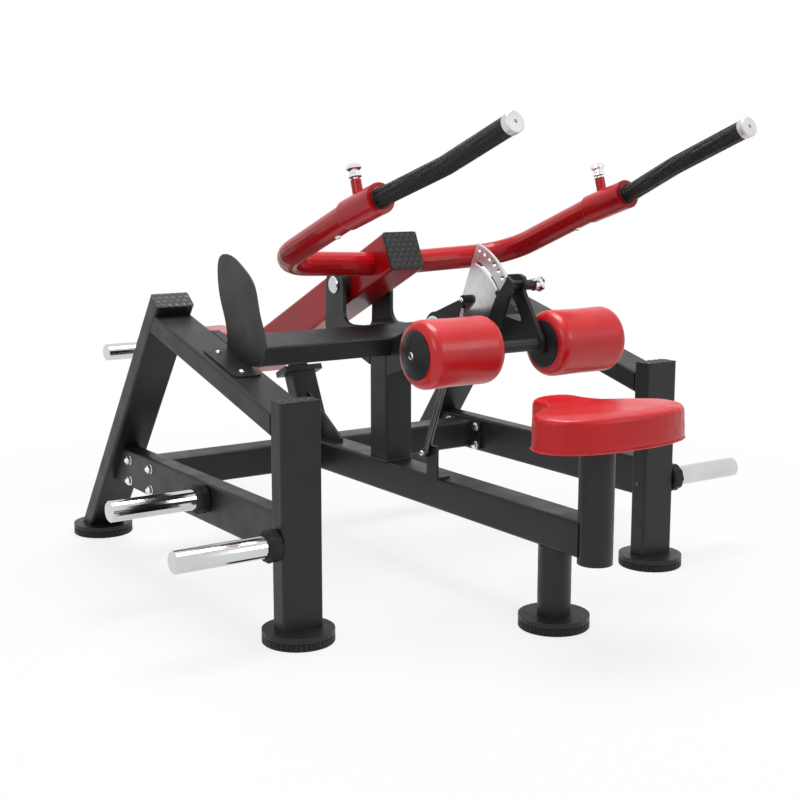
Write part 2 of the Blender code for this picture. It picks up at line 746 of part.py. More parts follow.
def lever_stop():
    """The leaning post that the lever rests on, square to it, notched over the lower crossbar's edge."""
    base = Vector((0, STOP_Y, CENTRE_BEAM_TOP + GAP))
    foot_at = intersect_line_plane(base, base + OFF_LEVER, base - Z_AXIS * SQUARE_TUBE / 2, Z_AXIS)
    lever_under = LEVER_PIVOT - OFF_LEVER * TUBE_WIDE / 2
    touch = intersect_line_plane(base, base + OFF_LEVER, lever_under, OFF_LEVER)
    buffer_top = touch - OFF_LEVER * GAP
    buffer_foot = buffer_top - OFF_LEVER * STOP_BUFFER_HEIGHT
    plate_top = buffer_foot - OFF_LEVER * GAP
    tube_top = plate_top - OFF_LEVER * (STOP_PLATE_THICKNESS - WELD)
    post = box_tube(
        "stop_post", STOP_WIDE, STOP_DEEP, [foot_at, tube_top], "frame_paint", machine, first_cut=Z_AXIS
    )
    plate = box(
        "stop_plate", (-STOP_PLATE_WIDE / 2, -STOP_PLATE_DEEP / 2, -STOP_PLATE_THICKNESS),
        (STOP_PLATE_WIDE / 2, STOP_PLATE_DEEP / 2, 0), "frame_paint", machine, aim(OFF_LEVER), plate_top,
    )
    front = Vector((STOP_Y - STOP_DEEP / 2 / math.cos(LEVER_ANGLE) + WELD, base.z))
    toe = front - Vector((STOP_GUSSET_LENGTH, 0))
    up_front = front + Vector((OFF_LEVER.y, OFF_LEVER.z)) * STOP_GUSSET_HEIGHT
    half = STOP_GUSSET_THICKNESS / 2
    gusset = side_plate(
        "stop_gusset", [toe, front, up_front, toe + Vector((0, STOP_GUSSET_TOE))], -half, half,
        "frame_paint", machine, base,
    )
    crossbar_rear = LOWER_CROSSBAR_Y + SQUARE_TUBE / 2 + GAP
    notch = box(
        "stop_notch", (-STOP_WIDE, crossbar_rear - 0.15, base.z - SQUARE_TUBE),
        (STOP_WIDE, crossbar_rear, base.z), "frame_paint", machine,
    )
    cut(post, notch)
    join(post, plate, gusset)
    rod("stop_buffer", buffer_foot, buffer_top, STOP_BUFFER_RADIUS, "rubber", machine)


def lever_bracket():
    """The bent U plate behind the crossbar, whose two ears hold the lever's pin, and its gussets."""
    along_floor = Vector((0, math.cos(FLOOR_ANGLE), -math.sin(FLOOR_ANGLE)))
    off_floor = Vector((0, math.sin(FLOOR_ANGLE), math.cos(FLOOR_ANGLE)))
    front = beside_crossbar(1, 1)
    top = Vector((0, front.x, front.y - FLOOR_BELOW_CROSSBAR))
    underside = top - off_floor * EAR_THICKNESS
    inner = EAR_OUTER - EAR_THICKNESS
    inner_bend = EAR_BEND - EAR_THICKNESS
    tall = 0.2
    channel = rounded(
        [
            (-EAR_OUTER, 0, EAR_BEND), (EAR_OUTER, 0, EAR_BEND), (EAR_OUTER, tall, 0), (inner, tall, 0),
            (inner, EAR_THICKNESS, inner_bend), (-inner, EAR_THICKNESS, inner_bend), (-inner, tall, 0),
            (-EAR_OUTER, tall, 0),
        ]
    )
    bracket = add(
        "lever_bracket", prism(channel, -0.22, 0.05), "frame_paint", machine, underside,
        Matrix((X_AXIS, off_floor, -along_floor)).transposed(),
    )
    ear_front, ear_rear = LEVER_PIVOT.y - EAR_RADIUS, LEVER_PIVOT.y + EAR_RADIUS
    ear_top = LEVER_PIVOT.z + EAR_RADIUS
    low, high = beside_crossbar(1, -0.8), beside_crossbar(1, 0.83)
    ear = rounded(
        [
            (FLOOR_REAR_Y, low.y - 0.01, 0), (*low, 0), (*high, 0), (ear_front, high.y, EAR_FILLET),
            (ear_front, ear_top, EAR_RADIUS * 0.98), (ear_rear, ear_top, EAR_RADIUS * 0.98),
        ],
        steps=7,
    )
    shape = side_plate("ear_outline", ear, -0.1, 0.1, "frame_paint", machine, LEVER_PIVOT)
    combine(bracket, shape, "INTERSECT")

    column_rear = COLUMN_Y + SQUARE_TUBE / 2 + GAP
    rear_top = underside + along_floor * ((REAR_GUSSET_Y - underside.y) / along_floor.y) + off_floor * WELD
    gusset = [
        Vector((column_rear, rear_top.z - 0.078)), Vector((REAR_GUSSET_Y, rear_top.z - REAR_GUSSET_DEPTH)),
        Vector((REAR_GUSSET_Y, rear_top.z)), beside_crossbar(1, 0.6), beside_crossbar(1, -1),
        under_crossbar(column_rear),
    ]
    for side, sign in SIDES:
        low_x, high_x = sorted((sign * SQUARE_TUBE / 2, sign * (SQUARE_TUBE / 2 - GUSSET_PLATE)))
        boss = rod(
            f"{side}_ear_boss", LEVER_PIVOT + X_AXIS * sign * (TUBE_WIDE / 2 + GAP),
            LEVER_PIVOT + X_AXIS * sign * (inner + WELD), EAR_BOSS_RADIUS, "frame_paint", machine, 24,
        )
        plate = side_plate(f"{side}_rear_gusset", gusset, low_x, high_x, "frame_paint", machine, LEVER_PIVOT)
        join(bracket, boss, plate)
    reach = X_AXIS * 0.1
    cut(bracket, rod("ear_bore", LEVER_PIVOT - reach, LEVER_PIVOT + reach, LEVER_PIN_RADIUS + GAP,
                     "frame_paint", machine, 24))


def thigh_bracket():
    """Two side plates in front of the column and crossbar, and an arm that ends in the thigh pivot."""
    outside = SQUARE_TUBE / 2
    inside = outside - GUSSET_PLATE
    column_front = COLUMN_Y - SQUARE_TUBE / 2 - GAP
    front_y = THIGH_PIVOT.y + HUB_RADIUS + 0.020
    nose_low = THIGH_PIVOT.z - 0.083
    nose_high = THIGH_PIVOT.z + 0.016
    outline = [
        Vector((column_front, 0.497)), under_crossbar(column_front), beside_crossbar(-1, -1),
        beside_crossbar(-1, 0.9), Vector((front_y, nose_high)), Vector((front_y, nose_low)),
        Vector((0.356, 0.516)),
    ]
    origin = Vector((0, column_front, CROSSBAR.z))
    bracket = side_plate("thigh_bracket", outline, inside, outside, "frame_paint", machine, origin)
    other = side_plate("thigh_bracket_left", outline, -outside, -inside, "frame_paint", machine, origin)
    nose = box(
        "thigh_bracket_nose", (-outside, front_y - 0.008, nose_low), (outside, front_y + WELD, nose_high),
        "frame_paint", machine,
    )
    right_end = SECTOR_X - SECTOR_THICKNESS / 2 - GAP
    arm = box(
        "thigh_bracket_arm", (HOUSING_LEFT_X, THIGH_PIVOT.y, THIGH_PIVOT.z - 0.035),
        (right_end, front_y, THIGH_PIVOT.z + 0.012), "frame_paint", machine,
    )
    housing = rod(
        "thigh_housing", THIGH_PIVOT + X_AXIS * HOUSING_LEFT_X, THIGH_PIVOT + X_AXIS * right_end,
        HUB_RADIUS, "frame_paint", machine, 32,
    )
    join(bracket, nose, other, arm, housing)
    reach = X_AXIS * 0.1
    cut(bracket, rod("housing_bore", THIGH_PIVOT - reach, THIGH_PIVOT + reach, SHAFT_RADIUS + GAP,
                     "frame_paint", machine, 24))


def on_circle(radius, angle):
    """A point of the side view at an angle above level, in front of the thigh pivot."""
    return Vector((THIGH_PIVOT.y - radius * math.cos(angle), THIGH_PIVOT.z + radius * math.sin(angle)))


def sector_plate():
    """The chrome plate with the holes of the thigh setting, and the arc slot of its guide."""
    highest = LOWEST_HOLE + SECTOR_PITCH * (SECTOR_HOLES - 1)
    front, rear = LOWEST_HOLE - math.radians(6), highest + math.radians(4)
    rim = [on_circle(SECTOR_RIM_RADIUS, front + (rear - front) * k / 14) for k in range(15)]
    hub = 0.030
    shoulder = [Vector((THIGH_PIVOT.y, THIGH_PIVOT.z + 0.079)), on_circle(0.0588, math.radians(62))]
    round_hub = [on_circle(hub, math.radians(110 + 22 * k)) for k in range(10)]
    outline = rim + shoulder + round_hub
    low, high = SECTOR_X - SECTOR_THICKNESS / 2, SECTOR_X + SECTOR_THICKNESS / 2
    plate = side_plate("sector_plate", outline, low, high, "chrome", machine, THIGH_PIVOT)
    for k in range(SECTOR_HOLES):
        y, z = on_circle(HOLE_CIRCLE_RADIUS, LOWEST_HOLE + SECTOR_PITCH * k)
        cut(plate, rod(f"sector_hole_{k}", (low - WELD, y, z), (high + WELD, y, z), SECTOR_HOLE_RADIUS,
                       "chrome", machine, 12))
    inner, outer = SLOT_CIRCLE_RADIUS - SLOT_WIDTH / 2, SLOT_CIRCLE_RADIUS + SLOT_WIDTH / 2
    start, end = LOWEST_HOLE - math.radians(2), highest + math.radians(2)
    there = [on_circle(inner, start + (end - start) * k / 12) for k in range(13)]
    back = [on_circle(outer, end + (start - end) * k / 12) for k in range(13)]
    slot = side_plate("sector_slot", there + back, low - WELD, high + WELD, "chrome", machine, THIGH_PIVOT)
    bore = rod(
        "sector_bore", THIGH_PIVOT + X_AXIS * (low - WELD), THIGH_PIVOT + X_AXIS * (high + WELD),
        SHAFT_RADIUS + GAP, "chrome", machine, 32,
    )
    cut(plate, slot, bore)


def thigh_arm(pivot):
    """What swings with the rollers: the arm plate, its hubs, shaft, fork and strut lug."""
    plate_right = ARM_PLATE_X + ARM_PLATE_THICKNESS
    pin = on_circle(HOLE_CIRCLE_RADIUS, LOWEST_HOLE)
    guide = on_circle(SLOT_CIRCLE_RADIUS, LOWEST_HOLE)
    outline = rounded(
        [
            (0.050, 0.774, 0.006), (0.010, 0.779, 0.006), (-0.008, 0.7735, 0.008), (-0.017, 0.757, 0.008),
            (-0.009, 0.741, 0.008), (-0.079, 0.636, 0.020), (-0.084, 0.602, 0.012),
            (THIGH_PIVOT.y, THIGH_PIVOT.z - HUB_RADIUS + WELD, 0), (THIGH_PIVOT.y, THIGH_PIVOT.z, 0),
            (0.120, 0.672, 0.020), (0.0935, 0.720, 0.040),
        ]
    )
    arm = side_plate("thigh_arm", outline, ARM_PLATE_X, plate_right, "frame_paint", pivot, THIGH_PIVOT)
    window = rounded(
        [(-0.0103, 0.6676, 0.005), (0.0642, 0.6773, 0.005), (0.0458, 0.7215, 0.005), (0.0266, 0.723, 0.004)],
        steps=4,
    )
    opening = side_plate(
        "arm_window", window, ARM_PLATE_X - WELD, plate_right + WELD, "frame_paint", pivot, THIGH_PIVOT
    )
    sector_right = SECTOR_X + SECTOR_THICKNESS / 2 + GAP
    sector_left = SECTOR_X - SECTOR_THICKNESS / 2
    hub = rod(
        "right_hub", THIGH_PIVOT + X_AXIS * (sector_right + GAP), THIGH_PIVOT + X_AXIS * RIGHT_HUB_X,
        HUB_RADIUS, "frame_paint", pivot, 32,
    )
    barrel_end = plate_right + PIN_BARREL_LENGTH
    barrel = rod(
        "thigh_pin_barrel", (sector_right + WELD, pin.x, pin.y), (barrel_end, pin.x, pin.y),
        PIN_BARREL_RADIUS, "frame_paint", pivot, 20,
    )
    cheek_right = sector_left - 0.003
    cheek_left = cheek_right - LUG_THICKNESS
    cheek_outline = rounded(
        [
            (-0.0067, 0.7765, 0.003), (-0.029, 0.764, 0.005), (-0.0215, 0.735, 0.004),
            (-0.0136, 0.730, 0.004), (0.020, 0.652, 0.008), (0.072, 0.652, 0.008), (0.0356, 0.722, 0.006),
            (-0.0007, 0.763, 0.003),
        ],
        steps=3,
    )
    cheek = side_plate(
        "fork_cheek", cheek_outline, cheek_left, cheek_right, "frame_paint", pivot, THIGH_PIVOT
    )
    guide_pin = rod(
        "slot_guide", (sector_left - 0.005 + GAP, guide.x, guide.y), (ARM_PLATE_X + WELD, guide.x, guide.y),
        GUIDE_RADIUS, "frame_paint", pivot, 12,
    )
    guide_head = rod(
        "slot_guide_head", (sector_left - 0.005, guide.x, guide.y),
        (sector_left - GAP * 2, guide.x, guide.y), GUIDE_RADIUS + 0.002, "frame_paint", pivot, 12,
    )
    tie = on_circle(SECTOR_RIM_RADIUS + GUIDE_RADIUS + 0.0023, FORK_TIE)
    bridge = rod(
        "fork_tie", (cheek_left + WELD, tie.x, tie.y), (ARM_PLATE_X + WELD, tie.x, tie.y), GUIDE_RADIUS,
        "frame_paint", pivot, 12,
    )
    join(arm, hub, cheek, guide_pin, guide_head, bridge, barrel)
    shaft_bore = rod(
        "right_hub_bore", THIGH_PIVOT, THIGH_PIVOT + X_AXIS * 0.2, SHAFT_RADIUS + GAP, "frame_paint",
        pivot, 32,
    )
    axle_bore = rod(
        "arm_axle_bore", ROLLER_AXLE, ROLLER_AXLE + X_AXIS * 0.2, AXLE_RADIUS + GAP, "frame_paint",
        pivot, 32,
    )
    pin_bore = rod(
        "thigh_pin_bore", (sector_right - WELD, pin.x, pin.y), (barrel_end + WELD, pin.x, pin.y),
        PIN_RADIUS + GAP, "frame_paint", pivot, 20,
    )
    cut(arm, opening, shaft_bore, axle_bore, pin_bore)

    lug_left = LEFT_HUB_X + GAP
    left_hub = rod(
        "left_hub", THIGH_PIVOT + X_AXIS * LEFT_HUB_X, THIGH_PIVOT + X_AXIS * (HOUSING_LEFT_X - GAP),
        HUB_RADIUS, "frame_paint", pivot, 32,
    )
    lug = side_plate(
        "strut_lug",
        belt([(STRUT_HEAD.y, STRUT_HEAD.z, STRUT_EYE_RADIUS), (THIGH_PIVOT.y - 0.012, THIGH_PIVOT.z, 0.030),
              (THIGH_PIVOT.y, THIGH_PIVOT.z + 0.012, 0.030)]),
        lug_left, lug_left + LUG_THICKNESS, "frame_paint", pivot, THIGH_PIVOT,
    )
    boss = rod(
        "strut_lug_boss", STRUT_HEAD + X_AXIS * (STRUT_X + STRUT_EYE_WIDTH / 2 + GAP),
        STRUT_HEAD + X_AXIS * (lug_left + WELD), STRUT_EYE_RADIUS - WELD, "frame_paint", pivot, 16,
    )
    join(left_hub, lug, boss)
    cut(left_hub, rod("left_hub_bore", THIGH_PIVOT - X_AXIS * 0.1, THIGH_PIVOT, SHAFT_RADIUS + GAP,
                      "frame_paint", pivot, 32))

    left = LEFT_HUB_X - GAP
    right = RIGHT_HUB_X + GAP
    disc = SHAFT_DISC_THICKNESS
    turned(
        "thigh_shaft",
        [
            (0, right + disc),
            (SHAFT_DISC_RADIUS, right + disc),
            (SHAFT_DISC_RADIUS, right),
            (SHAFT_RADIUS, right),
            (SHAFT_RADIUS, left),
            (SHAFT_DISC_RADIUS, left),
            (SHAFT_DISC_RADIUS, left - disc),
            (0, left - disc),
        ],
        "chrome", pivot, THIGH_PIVOT, X_AXIS, steps=24,
    )
    end = X_AXIS * (ROLLER_OUTER_X + ROLLER_DISC_DOME - ROLLER_DISC_PROUD)
    rod("roller_axle", ROLLER_AXLE - end, ROLLER_AXLE + end, AXLE_RADIUS, "frame_paint", pivot, 32)


def roller(side, sign, pivot):
    """A round pad with soft shoulders, a domed disc in its outer end and a flat one in its inner end."""
    low, high = ROLLER_INNER_X, ROLLER_OUTER_X
    shoulder, proud = ROLLER_SHOULDER, ROLLER_DISC_PROUD
    corner = ROLLER_RADIUS - shoulder
    bore = AXLE_RADIUS + GAP
    top = []
    for degrees in range(0, 91, 30):
        angle = math.radians(degrees)
        height = high - proud - shoulder * (1 - math.cos(angle))
        top.append((corner + shoulder * math.sin(angle), height))
    bottom = [(radius, low + high - height) for radius, height in reversed(top)]
    profile = [
        (bore, high + ROLLER_DISC_DOME), (0.030, high + ROLLER_DISC_DOME * 0.75),
        (ROLLER_DISC_RADIUS, high), (ROLLER_DISC_RADIUS, high - proud),
    ]
    profile += top + bottom
    profile += [(ROLLER_DISC_RADIUS, low + proud), (ROLLER_DISC_RADIUS, low), (bore, low)]
    turned(f"{side}_roller", profile, "vinyl", pivot, ROLLER_AXLE, X_AXIS * sign, steps=30, ring=True)


def pull_pin(name, parent, tip, direction, barrel_top, finish="chrome"):
    """A sprung plunger with a waisted knob. Heights are measured from the tip along direction."""
    knob = barrel_top + 0.004
    wide, end = PIN_KNOB_RADIUS, knob + PIN_KNOB_LENGTH
    turned(
        name,
        [
            (0, end),
            (wide * 0.72, end),
            (wide, end - 0.004),
            (wide, end - 0.010),
            (wide * 0.66, end - 0.015),
            (wide * 0.66, knob + 0.010),
            (wide * 0.86, knob + 0.006),
            (wide * 0.86, knob + 0.002),
            (wide * 0.60, knob),
            (PIN_RADIUS, knob),
            (PIN_RADIUS, 0.003),
            (PIN_RADIUS * 0.7, 0),
            (0, 0),
        ],
        finish, parent, tip, direction, steps=16,
    )


def gas_strut(cylinder_pivot, rod_pivot):
    """The cylinder on its eye at the bottom, and the rod with its eye at the top."""
    foot_at = STRUT_FOOT + X_AXIS * STRUT_X
    head_at = STRUT_HEAD + X_AXIS * STRUT_X
    along = (head_at - foot_at).normalized()
    half = X_AXIS * STRUT_EYE_WIDTH / 2
    neck = STRUT_EYE_RADIUS - WELD
    cylinder = rod(
        "strut_cylinder", foot_at + along * neck, foot_at + along * STRUT_CYLINDER_LENGTH, STRUT_RADIUS,
        "frame_paint", cylinder_pivot, 20,
    )
    eye = rod("strut_low_eye", foot_at - half, foot_at + half, STRUT_EYE_RADIUS, "frame_paint",
              cylinder_pivot, 20)
    join(cylinder, eye)
    depth = STRUT_CYLINDER_LENGTH - 0.200
    cut(
        cylinder,
        rod("strut_bore", foot_at + along * depth, foot_at + along * 0.3, STRUT_ROD_RADIUS + GAP,
            "frame_paint", cylinder_pivot, 16),
        rod("strut_eye_hole", foot_at - half * 2, foot_at + half * 2, GUIDE_RADIUS + GAP, "frame_paint",
            cylinder_pivot, 16),
    )
    plunger = rod(
        "strut_rod", foot_at + along * (depth + GAP), head_at - along * (STRUT_EYE_RADIUS - WELD),
        STRUT_ROD_RADIUS, "chrome", rod_pivot, 16,
    )
    head = rod("strut_high_eye", head_at - half, head_at + half, STRUT_EYE_RADIUS, "chrome", rod_pivot, 20)
    join(plunger, head)

    plate_left = STRUT_X + STRUT_EYE_WIDTH / 2 + GAP
    plate_right = plate_left + 0.006
    beam = CENTRE_BEAM_TOP + GAP
    bracket = box("strut_bracket", (plate_left, STRUT_FOOT.y - 0.032, beam),
                  (plate_right, STRUT_FOOT.y + 0.010, STRUT_FOOT.z + 0.018), "frame_paint", machine)
    flange = box("strut_bracket_foot", (plate_right - WELD, STRUT_FOOT.y - 0.032, beam),
                 (plate_right + 0.034, STRUT_FOOT.y + 0.010, beam + 0.006), "frame_paint", machine)
    bolt = rod("strut_bolt", foot_at - half - X_AXIS * 0.004, foot_at + half + X_AXIS * (GAP + WELD),
               GUIDE_RADIUS, "frame_paint", machine, 16)
    join(bracket, flange, bolt)


def lever(pivot):
    """The long tube with its mitred rear end, the pin, the yoke and the rear horns."""
    front = LEVER_PIVOT - DOWN_LEVER * (LEVER_FRONT - CAP_THICKNESS)
    down = (LEVER_PIVOT.z - LEVER_REAR_HEIGHT) / math.sin(LEVER_ANGLE)
    knee = LEVER_PIVOT + DOWN_LEVER * down
    end = Vector((0, LEVER_END_Y - CAP_THICKNESS, LEVER_REAR_HEIGHT))
    arm = box_tube("lever_arm", TUBE_WIDE, TUBE_WIDE, [front, knee, end], "lever_paint", pivot)
    inner = X_AXIS * (TUBE_WIDE - TUBE_WALL) / 2
    reach = X_AXIS * 0.2
    bush = rod("lever_bush", LEVER_PIVOT - inner, LEVER_PIVOT + inner, LEVER_BUSH_RADIUS, "lever_paint",
               pivot, 32)
    join(arm, bush)
    cut(arm, rod("lever_bore", LEVER_PIVOT - reach, LEVER_PIVOT + reach, LEVER_PIN_RADIUS + GAP,
                 "lever_paint", pivot, 32))
    end_cap("lever_front_cap", TUBE_WIDE, TUBE_WIDE, front, -DOWN_LEVER, "cap_plastic", pivot)
    end_cap("lever_rear_cap", TUBE_WIDE, TUBE_WIDE, end, Y_AXIS, "cap_plastic", pivot)

    shoulder = EAR_OUTER + GAP
    head = LEVER_PIN_HEAD_THICKNESS
    turned(
        "lever_pivot_pin",
        [
            (0, shoulder + head),
            (LEVER_PIN_HEAD_RADIUS - 0.002, shoulder + head),
            (LEVER_PIN_HEAD_RADIUS, shoulder + head - 0.002),
            (LEVER_PIN_HEAD_RADIUS, shoulder),
            (LEVER_PIN_RADIUS, shoulder),
            (LEVER_PIN_RADIUS, -shoulder),
            (LEVER_PIN_HEAD_RADIUS, -shoulder),
            (LEVER_PIN_HEAD_RADIUS, -shoulder - head + 0.002),
            (LEVER_PIN_HEAD_RADIUS - 0.002, -shoulder - head),
            (0, -shoulder - head),
        ],
        "chrome", pivot, LEVER_PIVOT, X_AXIS, steps=24,
    )
    for side, sign in SIDES:
        horn(
            f"{side}_rear_horn",
            (sign * (TUBE_WIDE / 2 + GAP), LEVER_END_Y - REAR_HORN_FROM_END, LEVER_REAR_HEIGHT), sign,
            REAR_HORN_LENGTH, pivot,
        )


def yoke_arm(side, sign, pivot):
    """Half of the yoke: a bent tube from the lever's side to the collar that the grip turns in."""
    root = LEVER_PIVOT - DOWN_LEVER * (LEVER_FRONT - YOKE_FROM_CAP)
    root.x = sign * (TUBE_WIDE / 2 + GAP)
    collar_start = COLLAR_START + X_AXIS * sign * YOKE_HALF_WIDTH
    mouth = collar_start + OUT_COLLAR * COLLAR_LENGTH
    bend = YOKE_CORNER + X_AXIS * sign * YOKE_HALF_WIDTH
    square_end = root + X_AXIS * sign * 0.004
    path = bent_path([square_end, bend, collar_start + OUT_COLLAR * WELD], YOKE_BEND, steps=8)
    arm = bent_bar(f"{side}_yoke_arm", [root] + path, YOKE_RADIUS, "lever_paint", pivot, 6)
    collar = rod(f"{side}_collar", collar_start, mouth, COLLAR_RADIUS, "lever_paint", pivot, 32)
    hollow_end = collar_start - OUT_COLLAR * YOKE_WALL
    inside = bent_path([square_end, bend, hollow_end], YOKE_BEND, steps=8)
    hollow = bent_bar(
        f"{side}_yoke_hollow", [root - X_AXIS * sign * WELD] + inside, YOKE_RADIUS - YOKE_WALL,
        "lever_paint", pivot, 2,
    )
    pin_foot = mouth - OUT_COLLAR * COLLAR_PIN_FROM_MOUTH
    barrel_top = COLLAR_RADIUS + PIN_BARREL_LENGTH
    barrel = rod(
        f"{side}_barrel", pin_foot + OFF_COLLAR * (JOURNAL_RADIUS + 0.006),
        pin_foot + OFF_COLLAR * barrel_top, PIN_BARREL_RADIUS, "lever_paint", pivot, 20,
    )
    join(arm, collar, barrel)
    cut(
        arm,
        hollow,
        rod(f"{side}_collar_bore", mouth - OUT_COLLAR * (JOURNAL_DEPTH + GAP), mouth + OUT_COLLAR * WELD,
            JOURNAL_RADIUS + GAP, "lever_paint", pivot, 32),
        rod(f"{side}_pin_bore", pin_foot, pin_foot + OFF_COLLAR * (barrel_top + WELD), PIN_RADIUS + GAP,
            "lever_paint", pivot, 20),
    )
    return mouth, pin_foot, barrel_top


def grip(side, sign, pivot, mouth):
    """A cranked bar that turns in its collar, its rubber sleeve and its end cap."""
    inward = -X_AXIS * sign

    def place(reach, across, up):
        return mouth + OUT_COLLAR * reach + inward * across + OFF_COLLAR * up

    crank = place(GRIP_CRANK_REACH, GRIP_CRANK_IN, GRIP_CRANK_UP)
    end = place(GRIP_END_REACH, GRIP_END_IN, GRIP_END_UP)
    last = (end - crank).normalized()
    shoulder = 0.004
    start = mouth + OUT_COLLAR * shoulder
    straight = mouth + OUT_COLLAR * 0.020
    cap_foot = end - last * GRIP_CAP_LENGTH

    route = bent_path([mouth - OUT_COLLAR * 0.100, straight, crank, cap_foot], GRIP_BEND, steps=4)
    bar = bent_bar(f"{side}_grip_bar", route, GRIP_BAR_RADIUS, "aluminium", pivot)
    journal = rod(f"{side}_journal", mouth - OUT_COLLAR * JOURNAL_DEPTH, start, JOURNAL_RADIUS, "aluminium",
                  pivot, 32)
    join(bar, journal)

    sleeve_start = start + OUT_COLLAR * GAP
    sleeve_end = cap_foot - last * GAP
    route = bent_path([sleeve_start, straight, crank, sleeve_end], GRIP_BEND, steps=4)
    sleeve = bent_bar(f"{side}_grip_sleeve", route, GRIP_RADIUS, "grip_rubber", pivot)
    route = bent_path([mouth - OUT_COLLAR * 0.020, straight, crank, end + last * 0.02], GRIP_BEND, steps=4)
    cut(sleeve, bent_bar(f"{side}_sleeve_bore", route, GRIP_BAR_RADIUS + GAP, "grip_rubber", pivot))

    wide, tall = GRIP_CAP_RADIUS, GRIP_CAP_LENGTH - GAP
    turned(
        f"{side}_grip_cap",
        [
            (0.004, tall), (wide - 0.002, tall), (wide, tall - 0.002), (wide, 0.001), (wide - 0.001, 0),
            (0, 0), (0, tall - 0.004), (0.004, tall - 0.004),
        ],
        "aluminium", pivot, cap_foot + last * GAP, last, steps=24, ring=True,
    )


def placard():
    """A blank sheet with a rounded, leaning outline, on a flange that lies on the left sloping beam."""
    outline = rounded(
        [
            (0.285, beam_top(0.285) + 0.003, 0.020), (0.395, beam_top(0.395) + 0.003, 0.006),
            (0.390, 0.650, 0.030), (0.434, 0.730, 0.080), (0.440, 0.828, 0.022), (0.356, 0.8235, 0.060),
            (0.250, 0.768, 0.035), (0.238, 0.700, 0.050), (0.192, 0.622, 0.025), (0.240, 0.578, 0.030),
        ],
        steps=4,
    )
    origin = Vector((0, PLACARD_FLANGE_START, beam_top(PLACARD_FLANGE_START)))
    right = PLACARD_X + PLACARD_THICKNESS
    sheet = side_plate("placard", outline, PLACARD_X, right, "frame_paint", machine, origin)
    flange = box(
        "placard_flange", (PLACARD_X - PLACARD_FLANGE_WIDTH, 0, 0),
        (right, PLACARD_FLANGE_LENGTH, 0.004), "frame_paint", machine,
        Matrix.Rotation(BEAM_ANGLE, 3, "X"), origin + OFF_BEAM * GAP,
    )
    join(sheet, flange)


for side_name, side_sign in SIDES:
    side_frame(side_name, side_sign)
frame_middle()
seat()
storage_horns()
lever_stop()
lever_bracket()
thigh_bracket()
sector_plate()
placard()

lever_pivot = empty("lever_pivot", machine, LEVER_PIVOT)
lever(lever_pivot)
for side_name, side_sign in SIDES:
    collar_mouth, collar_pin_foot, collar_barrel_top = yoke_arm(side_name, side_sign, lever_pivot)
    grip_pivot = empty(f"{side_name}_grip_pivot", lever_pivot, collar_mouth)
    grip(side_name, side_sign, grip_pivot, collar_mouth)
    pin_tip = collar_pin_foot + OFF_COLLAR * (JOURNAL_RADIUS + GAP)
    pin_slide = empty(f"{side_name}_grip_pin_slide", lever_pivot, pin_tip)
    pull_pin(
        f"{side_name}_grip_pin", pin_slide, pin_tip, OFF_COLLAR,
        collar_barrel_top - JOURNAL_RADIUS - GAP,
    )

thigh_pivot = empty("thigh_pivot", machine, THIGH_PIVOT)
thigh_arm(thigh_pivot)
for side_name, side_sign in SIDES:
    roller_pivot = empty(f"{side_name}_roller_pivot", thigh_pivot, ROLLER_AXLE)
    roller(side_name, side_sign, roller_pivot)
thigh_pin = on_circle(HOLE_CIRCLE_RADIUS, LOWEST_HOLE)
thigh_pin_tip = Vector((SECTOR_X + SECTOR_THICKNESS / 2 + GAP, thigh_pin.x, thigh_pin.y))
thigh_pin_slide = empty("thigh_pin_slide", thigh_pivot, thigh_pin_tip)
pull_pin(
    "thigh_pin", thigh_pin_slide, thigh_pin_tip, X_AXIS,
    ARM_PLATE_X + ARM_PLATE_THICKNESS + PIN_BARREL_LENGTH - thigh_pin_tip.x,
)

strut_pivot = empty("strut_pivot", machine, STRUT_FOOT + X_AXIS * STRUT_X)
strut_slide = empty("strut_slide", strut_pivot, STRUT_HEAD + X_AXIS * STRUT_X)
gas_strut(strut_pivot, strut_slide)
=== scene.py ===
# %% [markdown]
# # A plate-loaded seated dip machine
#
# The person sits on the red saddle, with the thighs under the two red rollers, and presses the
# two black grips down. The long red lever turns on its pin and lifts the plates on its rear horns.
#
# The steel work comes from the CAD model and keeps its shapes, apart from one blank panel. This
# lesson gives every surface its finish, and makes the things that a CAD solid is too plain for:
# the padded seat and rollers, their end discs, the rubber collars, the scales on the caps, the
# nuts and bolts, the weld beads and the piping.

# %% Load the machine
import json
import math

import bmesh
import bpy
from mathutils import Matrix, Vector


